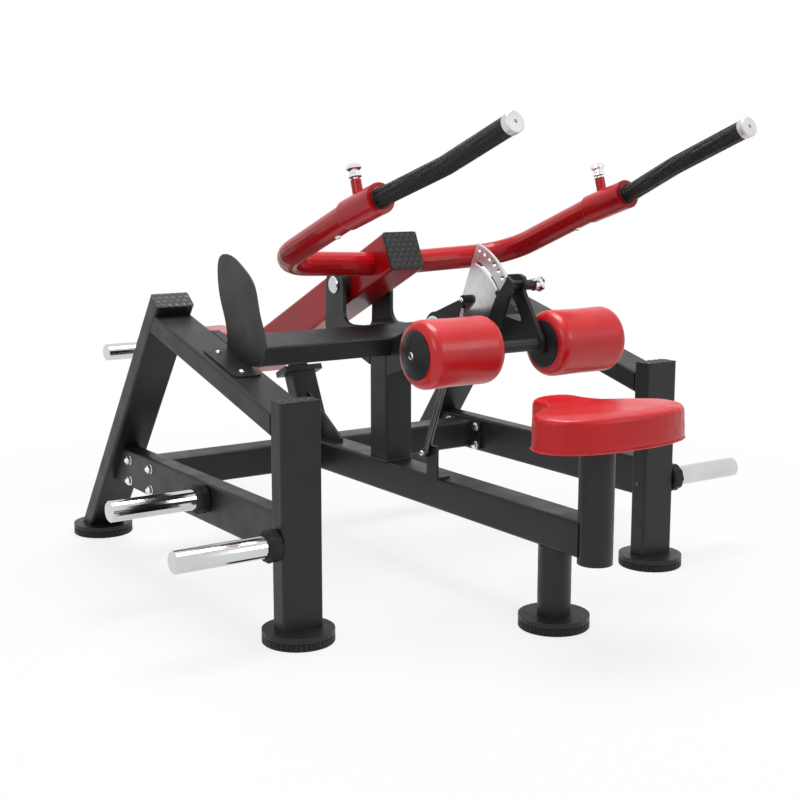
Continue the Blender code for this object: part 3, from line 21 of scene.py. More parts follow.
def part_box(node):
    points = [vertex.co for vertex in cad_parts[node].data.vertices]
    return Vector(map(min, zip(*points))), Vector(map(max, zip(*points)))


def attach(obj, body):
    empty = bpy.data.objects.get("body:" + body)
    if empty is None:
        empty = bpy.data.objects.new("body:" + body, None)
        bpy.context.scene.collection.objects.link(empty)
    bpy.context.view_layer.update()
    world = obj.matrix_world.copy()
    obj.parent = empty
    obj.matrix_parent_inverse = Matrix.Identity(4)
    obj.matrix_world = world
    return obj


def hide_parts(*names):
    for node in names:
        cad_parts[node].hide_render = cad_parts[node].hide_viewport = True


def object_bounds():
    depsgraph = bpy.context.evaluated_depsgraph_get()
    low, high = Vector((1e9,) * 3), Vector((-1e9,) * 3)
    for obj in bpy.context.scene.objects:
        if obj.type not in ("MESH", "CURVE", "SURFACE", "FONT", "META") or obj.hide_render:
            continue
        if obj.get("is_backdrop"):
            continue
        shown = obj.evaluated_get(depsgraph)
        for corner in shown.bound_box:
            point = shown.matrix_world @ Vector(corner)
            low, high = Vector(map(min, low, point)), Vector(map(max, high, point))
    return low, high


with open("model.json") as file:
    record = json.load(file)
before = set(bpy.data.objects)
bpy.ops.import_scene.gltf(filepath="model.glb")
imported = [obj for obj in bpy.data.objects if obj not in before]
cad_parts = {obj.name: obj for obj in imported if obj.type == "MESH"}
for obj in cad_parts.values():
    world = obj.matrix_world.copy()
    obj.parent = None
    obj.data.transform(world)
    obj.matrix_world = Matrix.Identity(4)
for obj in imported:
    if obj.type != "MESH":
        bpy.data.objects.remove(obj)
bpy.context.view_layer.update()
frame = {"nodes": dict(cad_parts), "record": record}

SCENE = bpy.context.scene

# %% [markdown]
# ## Where things are
#
# +Y runs from the seat to the plates, +X to the right of someone who stands behind the seat.
# The front posts' front faces are the datum for lengths along the machine, so a small helper
# turns such a length into a place in the scene. The directions of the sloping tubes are used
# again and again, for fasteners and for patterns that follow a face, so they get names too.

# %% Datum and directions
POST_FRONT = -0.512
X_AXIS, Y_AXIS, Z_AXIS = Vector((1, 0, 0)), Vector((0, 1, 0)), Vector((0, 0, 1))
BEAM_ANGLE = math.radians(14.88)
LEVER_ANGLE = math.radians(25.2)
LEG_ANGLE = math.radians(53.0)
COLLAR_ANGLE = math.radians(17.2)
UP_BEAM = Vector((0, math.cos(BEAM_ANGLE), math.sin(BEAM_ANGLE)))
OFF_BEAM = Vector((0, -math.sin(BEAM_ANGLE), math.cos(BEAM_ANGLE)))
SIDES = (("left", -1), ("right", 1))


def at(x, y, z):
    """A place whose y is measured from the front posts' front faces."""
    return Vector((x, POST_FRONT + y, z))


# %% [markdown]
# ## A small tool box for shapes
#
# Nearly every small thing on a machine is turned on a lathe: a profile is drawn beside an axis
# and spun round it. The spin operator does just that. A finished piece keeps its own object at
# the origin, so its place is put into its mesh, and it is told which moving body it rides on.

# %% Turning and finishing
def spun(profile, steps=40):
    """A turned shape round Z. The profile is a list of (radius, height)."""
    shape = bmesh.new()
    line = [shape.verts.new((radius, 0, height)) for radius, height in profile]
    edges = [shape.edges.new(pair) for pair in zip(line, line[1:])]
    bmesh.ops.spin(
        shape, geom=line + edges, cent=(0, 0, 0), axis=(0, 0, 1), angle=2 * math.pi, steps=steps,
        use_merge=True,
    )
    bmesh.ops.remove_doubles(shape, verts=shape.verts, dist=1e-6)
    return shape


def aim(direction, side=Y_AXIS):
    """The turn that puts Z along a direction."""
    z = Vector(direction).normalized()
    x = side - z * side.dot(z)
    if x.length < 1e-4:
        x = X_AXIS - z * X_AXIS.dot(z)
    x.normalize()
    return Matrix((x, z.cross(x), z)).transposed().to_4x4()


def put(shape, centre, direction=Z_AXIS, side=Y_AXIS):
    """Moves a shape that was made round Z to its place."""
    turn = Matrix.Translation(centre) @ aim(direction, side)
    bmesh.ops.transform(shape, matrix=turn, verts=shape.verts)
    return shape


def lift(shape, height):
    """Moves a shape up."""
    bmesh.ops.translate(shape, vec=(0, 0, height), verts=shape.verts)
    return shape


def bevel(shape, edges, offset, segments):
    """Rounds some edges of a shape."""
    bmesh.ops.bevel(
        shape, geom=edges, offset=offset, segments=segments, profile=0.5, affect="EDGES", material=-1
    )


def only(kind, geometry):
    """The members of one kind in what an operator gives back."""
    return [g for g in geometry if isinstance(g, kind)]


def as_mesh(name, shape):
    """Turns a bmesh into a mesh, and frees it."""
    mesh = bpy.data.meshes.new(name)
    shape.to_mesh(mesh)
    shape.free()
    return mesh


def gather(shapes):
    """Several shapes as one."""
    whole = bmesh.new()
    for shape in shapes:
        bmesh.ops.recalc_face_normals(shape, faces=shape.faces)
        carrier = as_mesh("carrier", shape)
        whole.from_mesh(carrier)
        bpy.data.meshes.remove(carrier)
    return whole


def add_object(name, data):
    """A new object in the scene."""
    made = bpy.data.objects.new(name, data)
    SCENE.collection.objects.link(made)
    return made


def piece(name, shape, coat, body, sharp):
    """Makes the finished piece of a shape. Edges sharper than so many degrees stay crisp."""
    bmesh.ops.recalc_face_normals(shape, faces=shape.faces)
    mesh = as_mesh(name, shape)
    mesh.shade_smooth()
    mesh.set_sharp_from_angle(angle=math.radians(sharp))
    mesh.materials.append(coat)
    made = add_object(name, mesh)
    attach(made, body)
    print(name, len(mesh.polygons), "faces on", body)
    return made


print("tool box ready")

# %% [markdown]
# ## A small tool box for finishes
#
# A real finish is never one flat colour: it varies slowly over a face, has a grain that shows in
# the highlights, and is duller where hands and dust have been. All of it can be made from noise
# that is read from Object coordinates, which stay with the piece when it moves. The helpers add
# one such layer each, so a finish below reads as a list of what the real surface has.

# %% Layers for finishes
def finish(name, color, roughness, metallic=0.0, **shader_values):
    """A new material with its shader's plain values set."""
    made = bpy.data.materials.new(name)
    made.use_nodes = True
    shader = made.node_tree.nodes["Principled BSDF"]
    shader.inputs["Base Color"].default_value = (*color, 1)
    shader.inputs["Roughness"].default_value = roughness
    shader.inputs["Metallic"].default_value = metallic
    for socket, value in shader_values.items():
        shader.inputs[socket.replace("_", " ")].default_value = value
    made.diffuse_color = (*color, 1)
    return made


def shader_of(made):
    """The material's shader."""
    return made.node_tree.nodes["Principled BSDF"]


def join(output, socket):
    """Links one node's output to another node's input."""
    output.id_data.links.new(output, socket)


def add_node(owner, kind, **inputs):
    """A node in a material or a world, with some of its inputs set by name."""
    node = owner.node_tree.nodes.new(kind)
    for socket, value in inputs.items():
        node.inputs[socket.replace("_", " ")].default_value = value
    return node


def combine(owner, operation, *values, clamp=False):
    """A Math node. Each value is a number or another node's output."""
    node = add_node(owner, "ShaderNodeMath")
    node.operation = operation
    node.use_clamp = clamp
    for socket, value in zip(node.inputs, values):
        if isinstance(value, (int, float)):
            socket.default_value = value
        else:
            join(value, socket)
    return node.outputs["Value"]


def coordinates(made, shift=(0, 0, 0), turn=(0, 0, 0), scale=(1, 1, 1)):
    """Object coordinates, shifted, turned and stretched."""
    source = add_node(made, "ShaderNodeTexCoord")
    mapping = add_node(made, "ShaderNodeMapping", Location=shift, Rotation=turn, Scale=scale)
    join(source.outputs["Object"], mapping.inputs["Vector"])
    return mapping.outputs["Vector"]


def noise(made, scale, detail=2.0, stretch=(1, 1, 1)):
    """Cloudy values of about 0.3 to 0.7."""
    node = add_node(made, "ShaderNodeTexNoise", Scale=scale, Detail=detail)
    join(coordinates(made, scale=stretch), node.inputs["Vector"])
    return node.outputs["Fac"]


def spread(made, value, low, high, bottom=0.3, top=0.7):
    """Turns a value between bottom and top into one between low and high."""
    node = add_node(
        made, "ShaderNodeMapRange", From_Min=bottom, From_Max=top, To_Min=low, To_Max=high
    )
    join(value, node.inputs["Value"])
    return node.outputs["Result"]


def vary_color(made, value, dark, light, bottom=0.3, top=0.7):
    """The base colour runs from dark to light with a value."""
    ramp = add_node(made, "ShaderNodeValToRGB")
    ramp.color_ramp.elements[0].position = bottom
    ramp.color_ramp.elements[1].position = top
    ramp.color_ramp.elements[0].color = (*dark, 1)
    ramp.color_ramp.elements[1].color = (*light, 1)
    join(value, ramp.inputs["Fac"])
    join(ramp.outputs["Color"], shader_of(made).inputs["Base Color"])
    return ramp


def vary_roughness(made, value, low, high):
    """The roughness runs from low to high with a value."""
    join(spread(made, value, low, high), shader_of(made).inputs["Roughness"])


def relief(made, value, depth, strength=1.0):
    """Raises the surface by a value times depth, on top of the relief that is there already."""
    normal = shader_of(made).inputs["Normal"]
    bump = add_node(made, "ShaderNodeBump", Strength=strength, Distance=depth)
    join(value, bump.inputs["Height"])
    if normal.links:
        join(normal.links[0].from_socket, bump.inputs["Normal"])
    join(bump.outputs["Normal"], normal)


print("layers ready")

# %% [markdown]
# ## Black powder coat
#
# The frame is welded steel under a satin black powder coat. Powder melts into a skin with a faint
# orange peel, a few millimetres across, and a much finer grit. Its edges are painted a little paler
# in patches. This is partly wear, where the coat rubs through first, and partly a painted highlight
# along the edges. The Bevel node finds those edges on any mesh: it blurs the normal, and where the
# blurred one leaves the true one, there is an edge.

# %% The frame's coat
frame_coat = finish("frame_coat", (0.012, 0.012, 0.013), 0.40, Specular_IOR_Level=0.34)


def wear_and_highlight_edges(made, ramp, width, pale):
    """Mixes a paler colour into the edges: partly wear, partly a painted highlight along them."""
    blurred = add_node(made, "ShaderNodeBevel", Radius=width)
    blurred.samples = 4
    true_normal = add_node(made, "ShaderNodeNewGeometry")
    match = add_node(made, "ShaderNodeVectorMath")
    match.operation = "DOT_PRODUCT"
    join(blurred.outputs["Normal"], match.inputs[0])
    join(true_normal.outputs["Normal"], match.inputs[1])
    edge = spread(made, match.outputs["Value"], 1.0, 0.0, 0.82, 0.985)
    patches = spread(made, noise(made, 28, 4), 0.0, 1.0, 0.42, 0.62)
    mix = add_node(made, "ShaderNodeMix")
    mix.data_type = "RGBA"
    join(combine(made, "MULTIPLY", edge, patches), mix.inputs[0])
    join(ramp.outputs["Color"], mix.inputs[6])
    mix.inputs[7].default_value = (*pale, 1)
    join(mix.outputs[2], shader_of(made).inputs["Base Color"])


coat_ramp = vary_color(
    frame_coat, noise(frame_coat, 5, 3), (0.009, 0.009, 0.0095), (0.016, 0.016, 0.017)
)
# Paler edges in patches: wear, and a painted highlight along the edges.
wear_and_highlight_edges(frame_coat, coat_ramp, 0.0022, (0.075, 0.075, 0.078))
vary_roughness(frame_coat, noise(frame_coat, 14, 4), 0.34, 0.50)
relief(frame_coat, noise(frame_coat, 260, 2), 0.00016)
relief(frame_coat, noise(frame_coat, 1400, 1), 0.00006)
print("frame coat:", len(frame_coat.node_tree.nodes), "nodes")

# %% [markdown]
# ## Candy red enamel
#
# The lever and yoke carry a deep red under a clear gloss. A clear coat over a coloured base is
# what the shader's coat is for: it adds a second, sharper reflection. Below it the red is a
# little deeper in places and holds a very fine flake.

# %% The lever's enamel
red_enamel = finish(
    "red_enamel", (0.38, 0.002, 0.006), 0.30,
    Coat_Weight=0.22, Coat_Roughness=0.05, Specular_IOR_Level=0.18,
)


def round_facets(made, radius):
    """Blurs the normal over a short way, so that a tube made of flats shades as round."""
    blurred = add_node(made, "ShaderNodeBevel", Radius=radius)
    blurred.samples = 6
    join(blurred.outputs["Normal"], shader_of(made).inputs["Normal"])


round_facets(red_enamel, 0.006)
vary_color(red_enamel, noise(red_enamel, 7, 3), (0.33, 0.0015, 0.005), (0.43, 0.003, 0.008))
vary_roughness(red_enamel, noise(red_enamel, 1800, 1), 0.24, 0.36)
relief(red_enamel, noise(red_enamel, 120, 2), 0.00006)
print("red enamel:", len(red_enamel.node_tree.nodes), "nodes")

# %% [markdown]
# ## Bright metal
#
# The plate horns, the pins and their knobs are chrome plated. Chrome shows what stands round it,
# so its finish is mostly roughness: nearly none, with faint wipe marks. The horns also show fine
# rubbed lines where plates slide, along their length. The grips' bars and end caps are turned
# aluminium, which is softer. The sector plate is only satin. The gas strut has a dark body, and
# its bright rod ends in a black eye, which one material can give by the height at which the eye
# starts.

# %% Chrome and aluminium
chrome = finish("chrome_plate", (0.80, 0.80, 0.82), 0.07, metallic=1.0)
vary_color(chrome, noise(chrome, 9, 3), (0.74, 0.74, 0.76), (0.86, 0.86, 0.87))
vary_roughness(chrome, noise(chrome, 16, 5), 0.04, 0.13)
relief(chrome, noise(chrome, 60, 3), 0.00004)

horn_chrome = finish("horn_chrome", (0.62, 0.62, 0.63), 0.08, metallic=1.0)
vary_color(horn_chrome, noise(horn_chrome, 7, 3), (0.55, 0.55, 0.56), (0.68, 0.68, 0.69))
vary_roughness(horn_chrome, noise(horn_chrome, 30, 5, (0.06, 1, 1)), 0.04, 0.15)
relief(horn_chrome, noise(horn_chrome, 420, 3, (0.03, 1, 1)), 0.00005)

aluminium = finish("turned_aluminium", (0.60, 0.60, 0.62), 0.30, metallic=1.0)
vary_color(aluminium, noise(aluminium, 12, 2), (0.56, 0.56, 0.58), (0.66, 0.66, 0.68))
vary_roughness(aluminium, noise(aluminium, 30, 2), 0.27, 0.34)
relief(aluminium, noise(aluminium, 60, 2), 0.00002, 0.3)
satin_plate = finish("satin_plate", (0.68, 0.68, 0.68), 0.22, metallic=1.0)
vary_color(satin_plate, noise(satin_plate, 12, 3), (0.64, 0.64, 0.64), (0.73, 0.73, 0.73))
vary_roughness(satin_plate, noise(satin_plate, 420, 3, (1, 1, 0.08)), 0.17, 0.28)
relief(satin_plate, noise(satin_plate, 600, 2, (1, 1, 0.05)), 0.00005)

gunmetal = finish("gunmetal", (0.10, 0.10, 0.105), 0.24, metallic=1.0)
vary_color(gunmetal, noise(gunmetal, 20, 3), (0.085, 0.085, 0.09), (0.12, 0.12, 0.125))
vary_roughness(gunmetal, noise(gunmetal, 90, 3, (1, 1, 0.1)), 0.18, 0.32)
relief(gunmetal, noise(gunmetal, 500, 2), 0.00004)

EYE_START, EYE_BLEND, EYE_DULLNESS = 0.702, 0.0005, 0.36
strut_chrome = finish("strut_chrome", (0.80, 0.80, 0.82), 0.10, metallic=1.0)
height = add_node(strut_chrome, "ShaderNodeSeparateXYZ")
join(coordinates(strut_chrome), height.inputs["Vector"])
in_eye = spread(
    strut_chrome, height.outputs["Z"], 0.0, 1.0, EYE_START - EYE_BLEND, EYE_START + EYE_BLEND
)
vary_color(strut_chrome, in_eye, (0.78, 0.78, 0.80), (0.014, 0.014, 0.015), 0.4, 0.6)
smudge = spread(strut_chrome, noise(strut_chrome, 60, 3), 0.05, 0.14)
dull = combine(strut_chrome, "MULTIPLY_ADD", in_eye, EYE_DULLNESS, smudge)
join(dull, shader_of(strut_chrome).inputs["Roughness"])
relief(strut_chrome, noise(strut_chrome, 500, 2), 0.00004)
print("bright metals:", [m.name for m in (chrome, horn_chrome, aluminium, satin_plate, gunmetal)])

# %% [markdown]
# ## Moulded caps with a scale pattern
#
# The caps that close the tubes are black plastic, moulded with rows of overlapping round scales,
# each row shifted by half a scale. Two square grids of round cells, one shifted by half a cell
# both ways, give such rows. Each scale rises towards its lower edge, and where two overlap the
# higher one wins. The grids have to lie in the cap's own plane, so the finish turns its
# coordinates to that plane first. Only the lever's rear cap gets its scales this way, because its
# face is the rearmost point of the machine. The other caps get real scales further down.

# %% Cap finishes
SCALE_WIDE, SCALE_DEEP = 0.0182, 0.0266


def scale_cap(name, lean):
    """A black cap whose face leans back from level by an angle about X."""
    made = finish(name, (0.014, 0.014, 0.015), 0.42, Specular_IOR_Level=0.32)
    flat = coordinates(made, turn=(lean, 0, 0))
    rows = []
    for shift in (0.0, 0.5):
        grid = add_node(
            made, "ShaderNodeMapping",
            Location=(shift, shift, 0), Scale=(1 / SCALE_WIDE, 1 / SCALE_DEEP, 0),
        )
        join(flat, grid.inputs["Vector"])
        cells = add_node(made, "ShaderNodeTexVoronoi", Scale=1.0, Randomness=0.0)
        cells.voronoi_dimensions = "2D"
        join(grid.outputs["Vector"], cells.inputs["Vector"])
        inside = spread(made, cells.outputs["Distance"], 1.0, 0.0, 0.43, 0.50)
        split = add_node(made, "ShaderNodeSeparateXYZ")
        join(grid.outputs["Vector"], split.inputs["Vector"])
        up_scale = combine(made, "FRACT", combine(made, "ADD", split.outputs["Y"], 0.5))
        rows.append(combine(made, "MULTIPLY", inside, spread(made, up_scale, 1.0, 0.25, 0.0, 1.0)))
    dome = combine(made, "MAXIMUM", *rows)
    relief(made, dome, 0.0060)
    relief(made, noise(made, 700, 2), 0.00010)
    # The colour follows the scales' height: painted shade in the grooves and on each scale's low part,
    # lighter on the raised parts.
    vary_color(made, dome, (0.006, 0.006, 0.007), (0.020, 0.020, 0.021), 0.0, 0.9)
    vary_roughness(made, noise(made, 60, 3), 0.36, 0.52)
    return made


plain_cap = finish("cap_plastic", (0.014, 0.014, 0.015), 0.42, Specular_IOR_Level=0.32)
vary_color(plain_cap, noise(plain_cap, 40, 3), (0.010, 0.010, 0.011), (0.018, 0.018, 0.019))
relief(plain_cap, noise(plain_cap, 700, 2), 0.00010)
vary_roughness(plain_cap, noise(plain_cap, 60, 3), 0.36, 0.52)
rear_cap = scale_cap("lever_rear_cap_plastic", math.radians(90))
print("cap finishes:", plain_cap.name, rear_cap.name)

# %% [markdown]
# ## Rubber
#
# The feet are hard black rubber rings with a row of moulded blocks round the side. The blocks
# are a wave that runs round the foot: its height depends on the angle at which a point lies as
# seen from the foot's centre, so each foot's finish moves its coordinates to that centre first.
# The grips' sleeves are softer, with coarse raised scales that hold the hand. Rubber is rough and
# has almost no highlight, so most of what the eye sees is the shading of the relief. The colour is
# also painted darker between the blocks and between the scales: painted shade in the grooves.

# %% Foot, buffer and grip rubber
hard_rubber = finish("hard_rubber", (0.012, 0.012, 0.012), 0.60, Specular_IOR_Level=0.25)
vary_color(hard_rubber, noise(hard_rubber, 30, 4), (0.008, 0.008, 0.008), (0.019, 0.019, 0.018))
relief(hard_rubber, noise(hard_rubber, 120, 3), 0.0009)
relief(hard_rubber, noise(hard_rubber, 900, 2), 0.00012)
vary_roughness(hard_rubber, noise(hard_rubber, 50, 3), 0.50, 0.70)

BLOCKS_ROUND_FOOT = 46


def block_tread(name, centre):
    """Foot rubber with blocks round a foot's own upright axis."""
    made = finish(name, (0.012, 0.012, 0.012), 0.60, Specular_IOR_Level=0.25)
    split = add_node(made, "ShaderNodeSeparateXYZ")
    join(coordinates(made, shift=(-centre.x, -centre.y, 0)), split.inputs["Vector"])
    bearing = combine(made, "ARCTAN2", split.outputs["Y"], split.outputs["X"])
    wave = combine(made, "SINE", combine(made, "MULTIPLY", bearing, BLOCKS_ROUND_FOOT))
    block = spread(made, wave, 0.0, 1.0, -0.75, -0.25)
    # Painted shade: the colour is darker in the grooves between the blocks.
    vary_color(made, block, (0.004, 0.004, 0.004), (0.015, 0.015, 0.015), 0.0, 1.0)
    relief(made, block, 0.0022)
    relief(made, noise(made, 900, 2), 0.00012)
    vary_roughness(made, noise(made, 50, 3), 0.48, 0.68)
    return made


foot_treads = {}
for name in ("left_front_foot", "right_front_foot", "left_rear_foot", "right_rear_foot", "centre_foot"):
    low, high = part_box(name)
    foot_treads[name] = block_tread(name + "_tread", (low + high) / 2)

grip_rubber = finish("grip_rubber", (0.009, 0.009, 0.010), 0.55, Specular_IOR_Level=0.25)
scales = add_node(grip_rubber, "ShaderNodeTexVoronoi", Scale=88.0, Randomness=0.30)
tread = coordinates(grip_rubber, turn=(COLLAR_ANGLE, 0, 0), scale=(1.0, 1.25, 0.8))
join(tread, scales.inputs["Vector"])
raised = spread(grip_rubber, scales.outputs["Distance"], 1.0, 0.0, 0.30, 0.62)
# Painted shade: the colour is darker in the grooves round the raised scales.
vary_color(grip_rubber, raised, (0.004, 0.004, 0.004), (0.013, 0.013, 0.014), 0.0, 1.0)
relief(grip_rubber, raised, 0.0030)
relief(grip_rubber, noise(grip_rubber, 900, 2), 0.00012)
vary_roughness(grip_rubber, noise(grip_rubber, 80, 3), 0.42, 0.62)
print("rubbers ready")

# %% [markdown]
# ## Red vinyl
#
# The saddle and the rollers are foam under a bright red vinyl skin. Up close it has a leather
# grain of small cells. From further off it is glossy and shows soft, uneven highlights, since the
# skin is pulled over foam. One broad, weak relief makes that unevenness and one fine relief makes
# the grain.

# %% The vinyl skin
def red_skin(name, gloss, coat):
    """Red vinyl over foam. gloss and coat say how much of the surround it mirrors."""
    made = finish(
        name, (0.54, 0.006, 0.010), 0.34,
        Specular_IOR_Level=gloss, Coat_Weight=coat, Coat_Roughness=0.14,
    )
    vary_color(made, noise(made, 9, 3), (0.49, 0.004, 0.007), (0.59, 0.009, 0.013))
    leather = add_node(made, "ShaderNodeTexVoronoi", Scale=620.0)
    leather.feature = "SMOOTH_F1"
    join(coordinates(made), leather.inputs["Vector"])
    relief(made, noise(made, 22, 2), 0.0010, 0.6)
    relief(made, spread(made, leather.outputs["Distance"], 1.0, 0.0, 0.1, 0.8), 0.00012, 0.8)
    vary_roughness(made, noise(made, 18, 4), 0.27, 0.40)
    return made


saddle_vinyl = red_skin("saddle_vinyl", 0.34, 0.05)
roller_vinyl = red_skin("roller_vinyl", 0.40, 0.22)

piping_vinyl = finish("piping_vinyl", (0.60, 0.03, 0.03), 0.40, Specular_IOR_Level=0.3)
vary_color(piping_vinyl, noise(piping_vinyl, 40, 3), (0.54, 0.02, 0.02), (0.66, 0.04, 0.04))
relief(piping_vinyl, noise(piping_vinyl, 900, 2), 0.0001)
vary_roughness(piping_vinyl, noise(piping_vinyl, 60, 3), 0.34, 0.46)

disc_plastic = finish("disc_plastic", (0.011, 0.011, 0.012), 0.34, Specular_IOR_Level=0.25)
vary_color(disc_plastic, noise(disc_plastic, 24, 4), (0.008, 0.008, 0.009), (0.015, 0.015, 0.016))
relief(disc_plastic, noise(disc_plastic, 800, 2), 0.00010)
vary_roughness(disc_plastic, noise(disc_plastic, 45, 3), 0.30, 0.46)
print("vinyl ready")

# %% [markdown]
# ## Dress the steel work
#
# The record says which slot each node belongs to, and each slot has a finish above. The horns,
# the feet, the lever's rear cap, the sector plate and the strut have finishes of their own. A
# carried-over node keeps its mesh, so only its material changes.

# %% Give each node its finish
BY_SLOT = {
    "frame": frame_coat, "lever": red_enamel, "chrome": chrome, "aluminium": aluminium,
    "rubber": hard_rubber, "grip": grip_rubber, "vinyl": roller_vinyl, "cap": plain_cap,
}
OWN_FINISH = {
    "lever_rear_cap": rear_cap, "sector_plate": satin_plate, "strut_cylinder": gunmetal,
    "strut_rod": strut_chrome, **foot_treads,
}
for entry in frame["record"]["subparts"]:
    name = entry["node"]
    coat = OWN_FINISH.get(name, BY_SLOT[entry["material_slot"]])
    if name.endswith("_horn"):
        coat = horn_chrome
    node = frame["nodes"][name]
    node.data.materials.clear()
    node.data.materials.append(coat)

# %% [markdown]
# ## Outlines taken from the CAD model
#
# Two pieces below follow an outline that the CAD model already has. A plane through a merged copy
# of the node (bisect) leaves a ring of cut edges, and walking from edge to edge puts its points
# in order.

# %% Cut an outline out of a node
def merged(node):
    """A copy of a CAD node's mesh, with its loose triangles joined."""
    shape = bmesh.new()
    shape.from_mesh(frame["nodes"][node].data)
    bmesh.ops.remove_doubles(shape, verts=shape.verts, dist=1e-5)
    return shape


def outline_of(node, place, facing):
    """The ordered points in which a plane cuts a node."""
    shape = merged(node)
    cut = bmesh.ops.bisect_plane(
        shape, geom=shape.verts[:] + shape.edges[:] + shape.faces[:], plane_co=place, plane_no=facing
    )["geom_cut"]
    left = set(only(bmesh.types.BMEdge, cut))
    here, route = min(left, key=lambda edge: edge.index).verts[0], []
    while left:
        step = next((edge for edge in here.link_edges if edge in left), None)
        if step is None:
            break
        route.append(here.co.copy())
        left.discard(step)
        here = step.other_vert(here)
    shape.free()
    return route


def evenly(route, spacing):
    """The same closed route with points at even steps."""
    ends = list(zip(route, route[1:] + route[:1]))
    total = sum((b - a).length for a, b in ends)
    count = round(total / spacing)
    points, walked, i = [], 0.0, 0
    for k in range(count):
        goal = total * k / count
        while walked + (ends[i][1] - ends[i][0]).length < goal:
            walked += (ends[i][1] - ends[i][0]).length
            i += 1
        a, b = ends[i]
        points.append(a.lerp(b, (goal - walked) / max((b - a).length, 1e-9)))
    return points


print("outline helper ready")

# %% [markdown]
# ## The blank panel beside the seat
#
# A bent steel panel stands on the left sloping beam, and it is blank. Its outline is one soft
# curve, while the CAD node draws it with flats between rounded corners. So its outline is cut out
# of the node, its points are spaced evenly, and each is replaced by the mean of its neighbours,
# which turns the flats into one curve. Near the flange the outline stays as it is. It then becomes
# a sheet again, beside a flange that is screwed to the beam.

# %% Smooth panel
PANEL_X, PANEL_THICK, PANEL_START = -0.500, 0.003, 0.235
FLANGE_WIDE, FLANGE_LONG, FLANGE_THICK = 0.062, 0.175, 0.004
FLANGE_CORNER, FLANGE_EDGE, FLANGE_GAP = 0.016, 0.0006, 0.0003
OUTLINE_STEP, SMOOTH_REACH, SMOOTH_ROUNDS = 0.003, 9, 2
FIRM_HEIGHT, SOFTENING = 0.012, 0.03
POST_DEEP, BEAM_TOP_AT_POST = 0.050, 0.508


def beam_top(y):
    """Height of the sloping beams' top at a length along the machine."""
    return BEAM_TOP_AT_POST + (y - POST_DEEP) * math.tan(BEAM_ANGLE)


rough = outline_of("placard", (PANEL_X + PANEL_THICK / 2, 0, 0), (1, 0, 0))
rough = evenly(rough, OUTLINE_STEP)
for smoothing in range(SMOOTH_ROUNDS):
    calm = []
    for i, point in enumerate(rough):
        near = [rough[(i + k) % len(rough)] for k in range(-SMOOTH_REACH, SMOOTH_REACH + 1)]
        mean = sum(near, Vector()) / len(near)
        above = point.z - beam_top(point.y - POST_FRONT)
        calm.append(point.lerp(mean, max(0.0, min(1.0, (above - FIRM_HEIGHT) / SOFTENING))))
    rough = calm
panel = bmesh.new()
sheet = panel.faces.new([panel.verts.new((PANEL_X, point.y, point.z)) for point in rough])
grown = bmesh.ops.extrude_face_region(panel, geom=[sheet], use_keep_orig=True)["geom"]
bmesh.ops.translate(panel, vec=(PANEL_THICK, 0, 0), verts=only(bmesh.types.BMVert, grown))

flange = bmesh.new()
bmesh.ops.create_cube(flange, size=1)
bmesh.ops.scale(flange, vec=(FLANGE_WIDE, FLANGE_LONG, FLANGE_THICK), verts=flange.verts)
corners = [
    e for e in flange.edges
    if abs(e.verts[0].co.x - e.verts[1].co.x) + abs(e.verts[0].co.y - e.verts[1].co.y) < 1e-6
    and e.verts[0].co.x < 0
]
bevel(flange, corners, FLANGE_CORNER, 6)
bevel(flange, [e for e in flange.edges if e.calc_face_angle(0) > 1.2], FLANGE_EDGE, 1)
bmesh.ops.transform(flange, matrix=Matrix.Rotation(BEAM_ANGLE, 4, "X"), verts=flange.verts)
flange_at = at(PANEL_X - FLANGE_WIDE / 2, PANEL_START, beam_top(PANEL_START))
flange_at += UP_BEAM * FLANGE_LONG / 2 + OFF_BEAM * (FLANGE_THICK / 2 + FLANGE_GAP)
bmesh.ops.translate(flange, vec=flange_at, verts=flange.verts)
smooth_panel = piece("smooth_panel", gather([panel, flange]), frame_coat, "frame", 40)
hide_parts("placard")

# %% [markdown]
# ## Padded pieces
#
# A pad is foam that its skin holds together: the skin is tight, so flat faces swell a little and
# corners stay. One could push points about by hand, but Blender's cloth does it better. The pad
# starts a little too small, an even net of small squares is laid over it (voxel remesh), and a
# pressure blows it up for twenty steps with gravity off. The points that lie on the board or on
# the axle are held, and no point may move further than a few millimetres.

# %% Blow up a pad
PAD_VOXEL, PAD_PRESSURE, SWELLING_STEPS = 0.0045, 4, 20


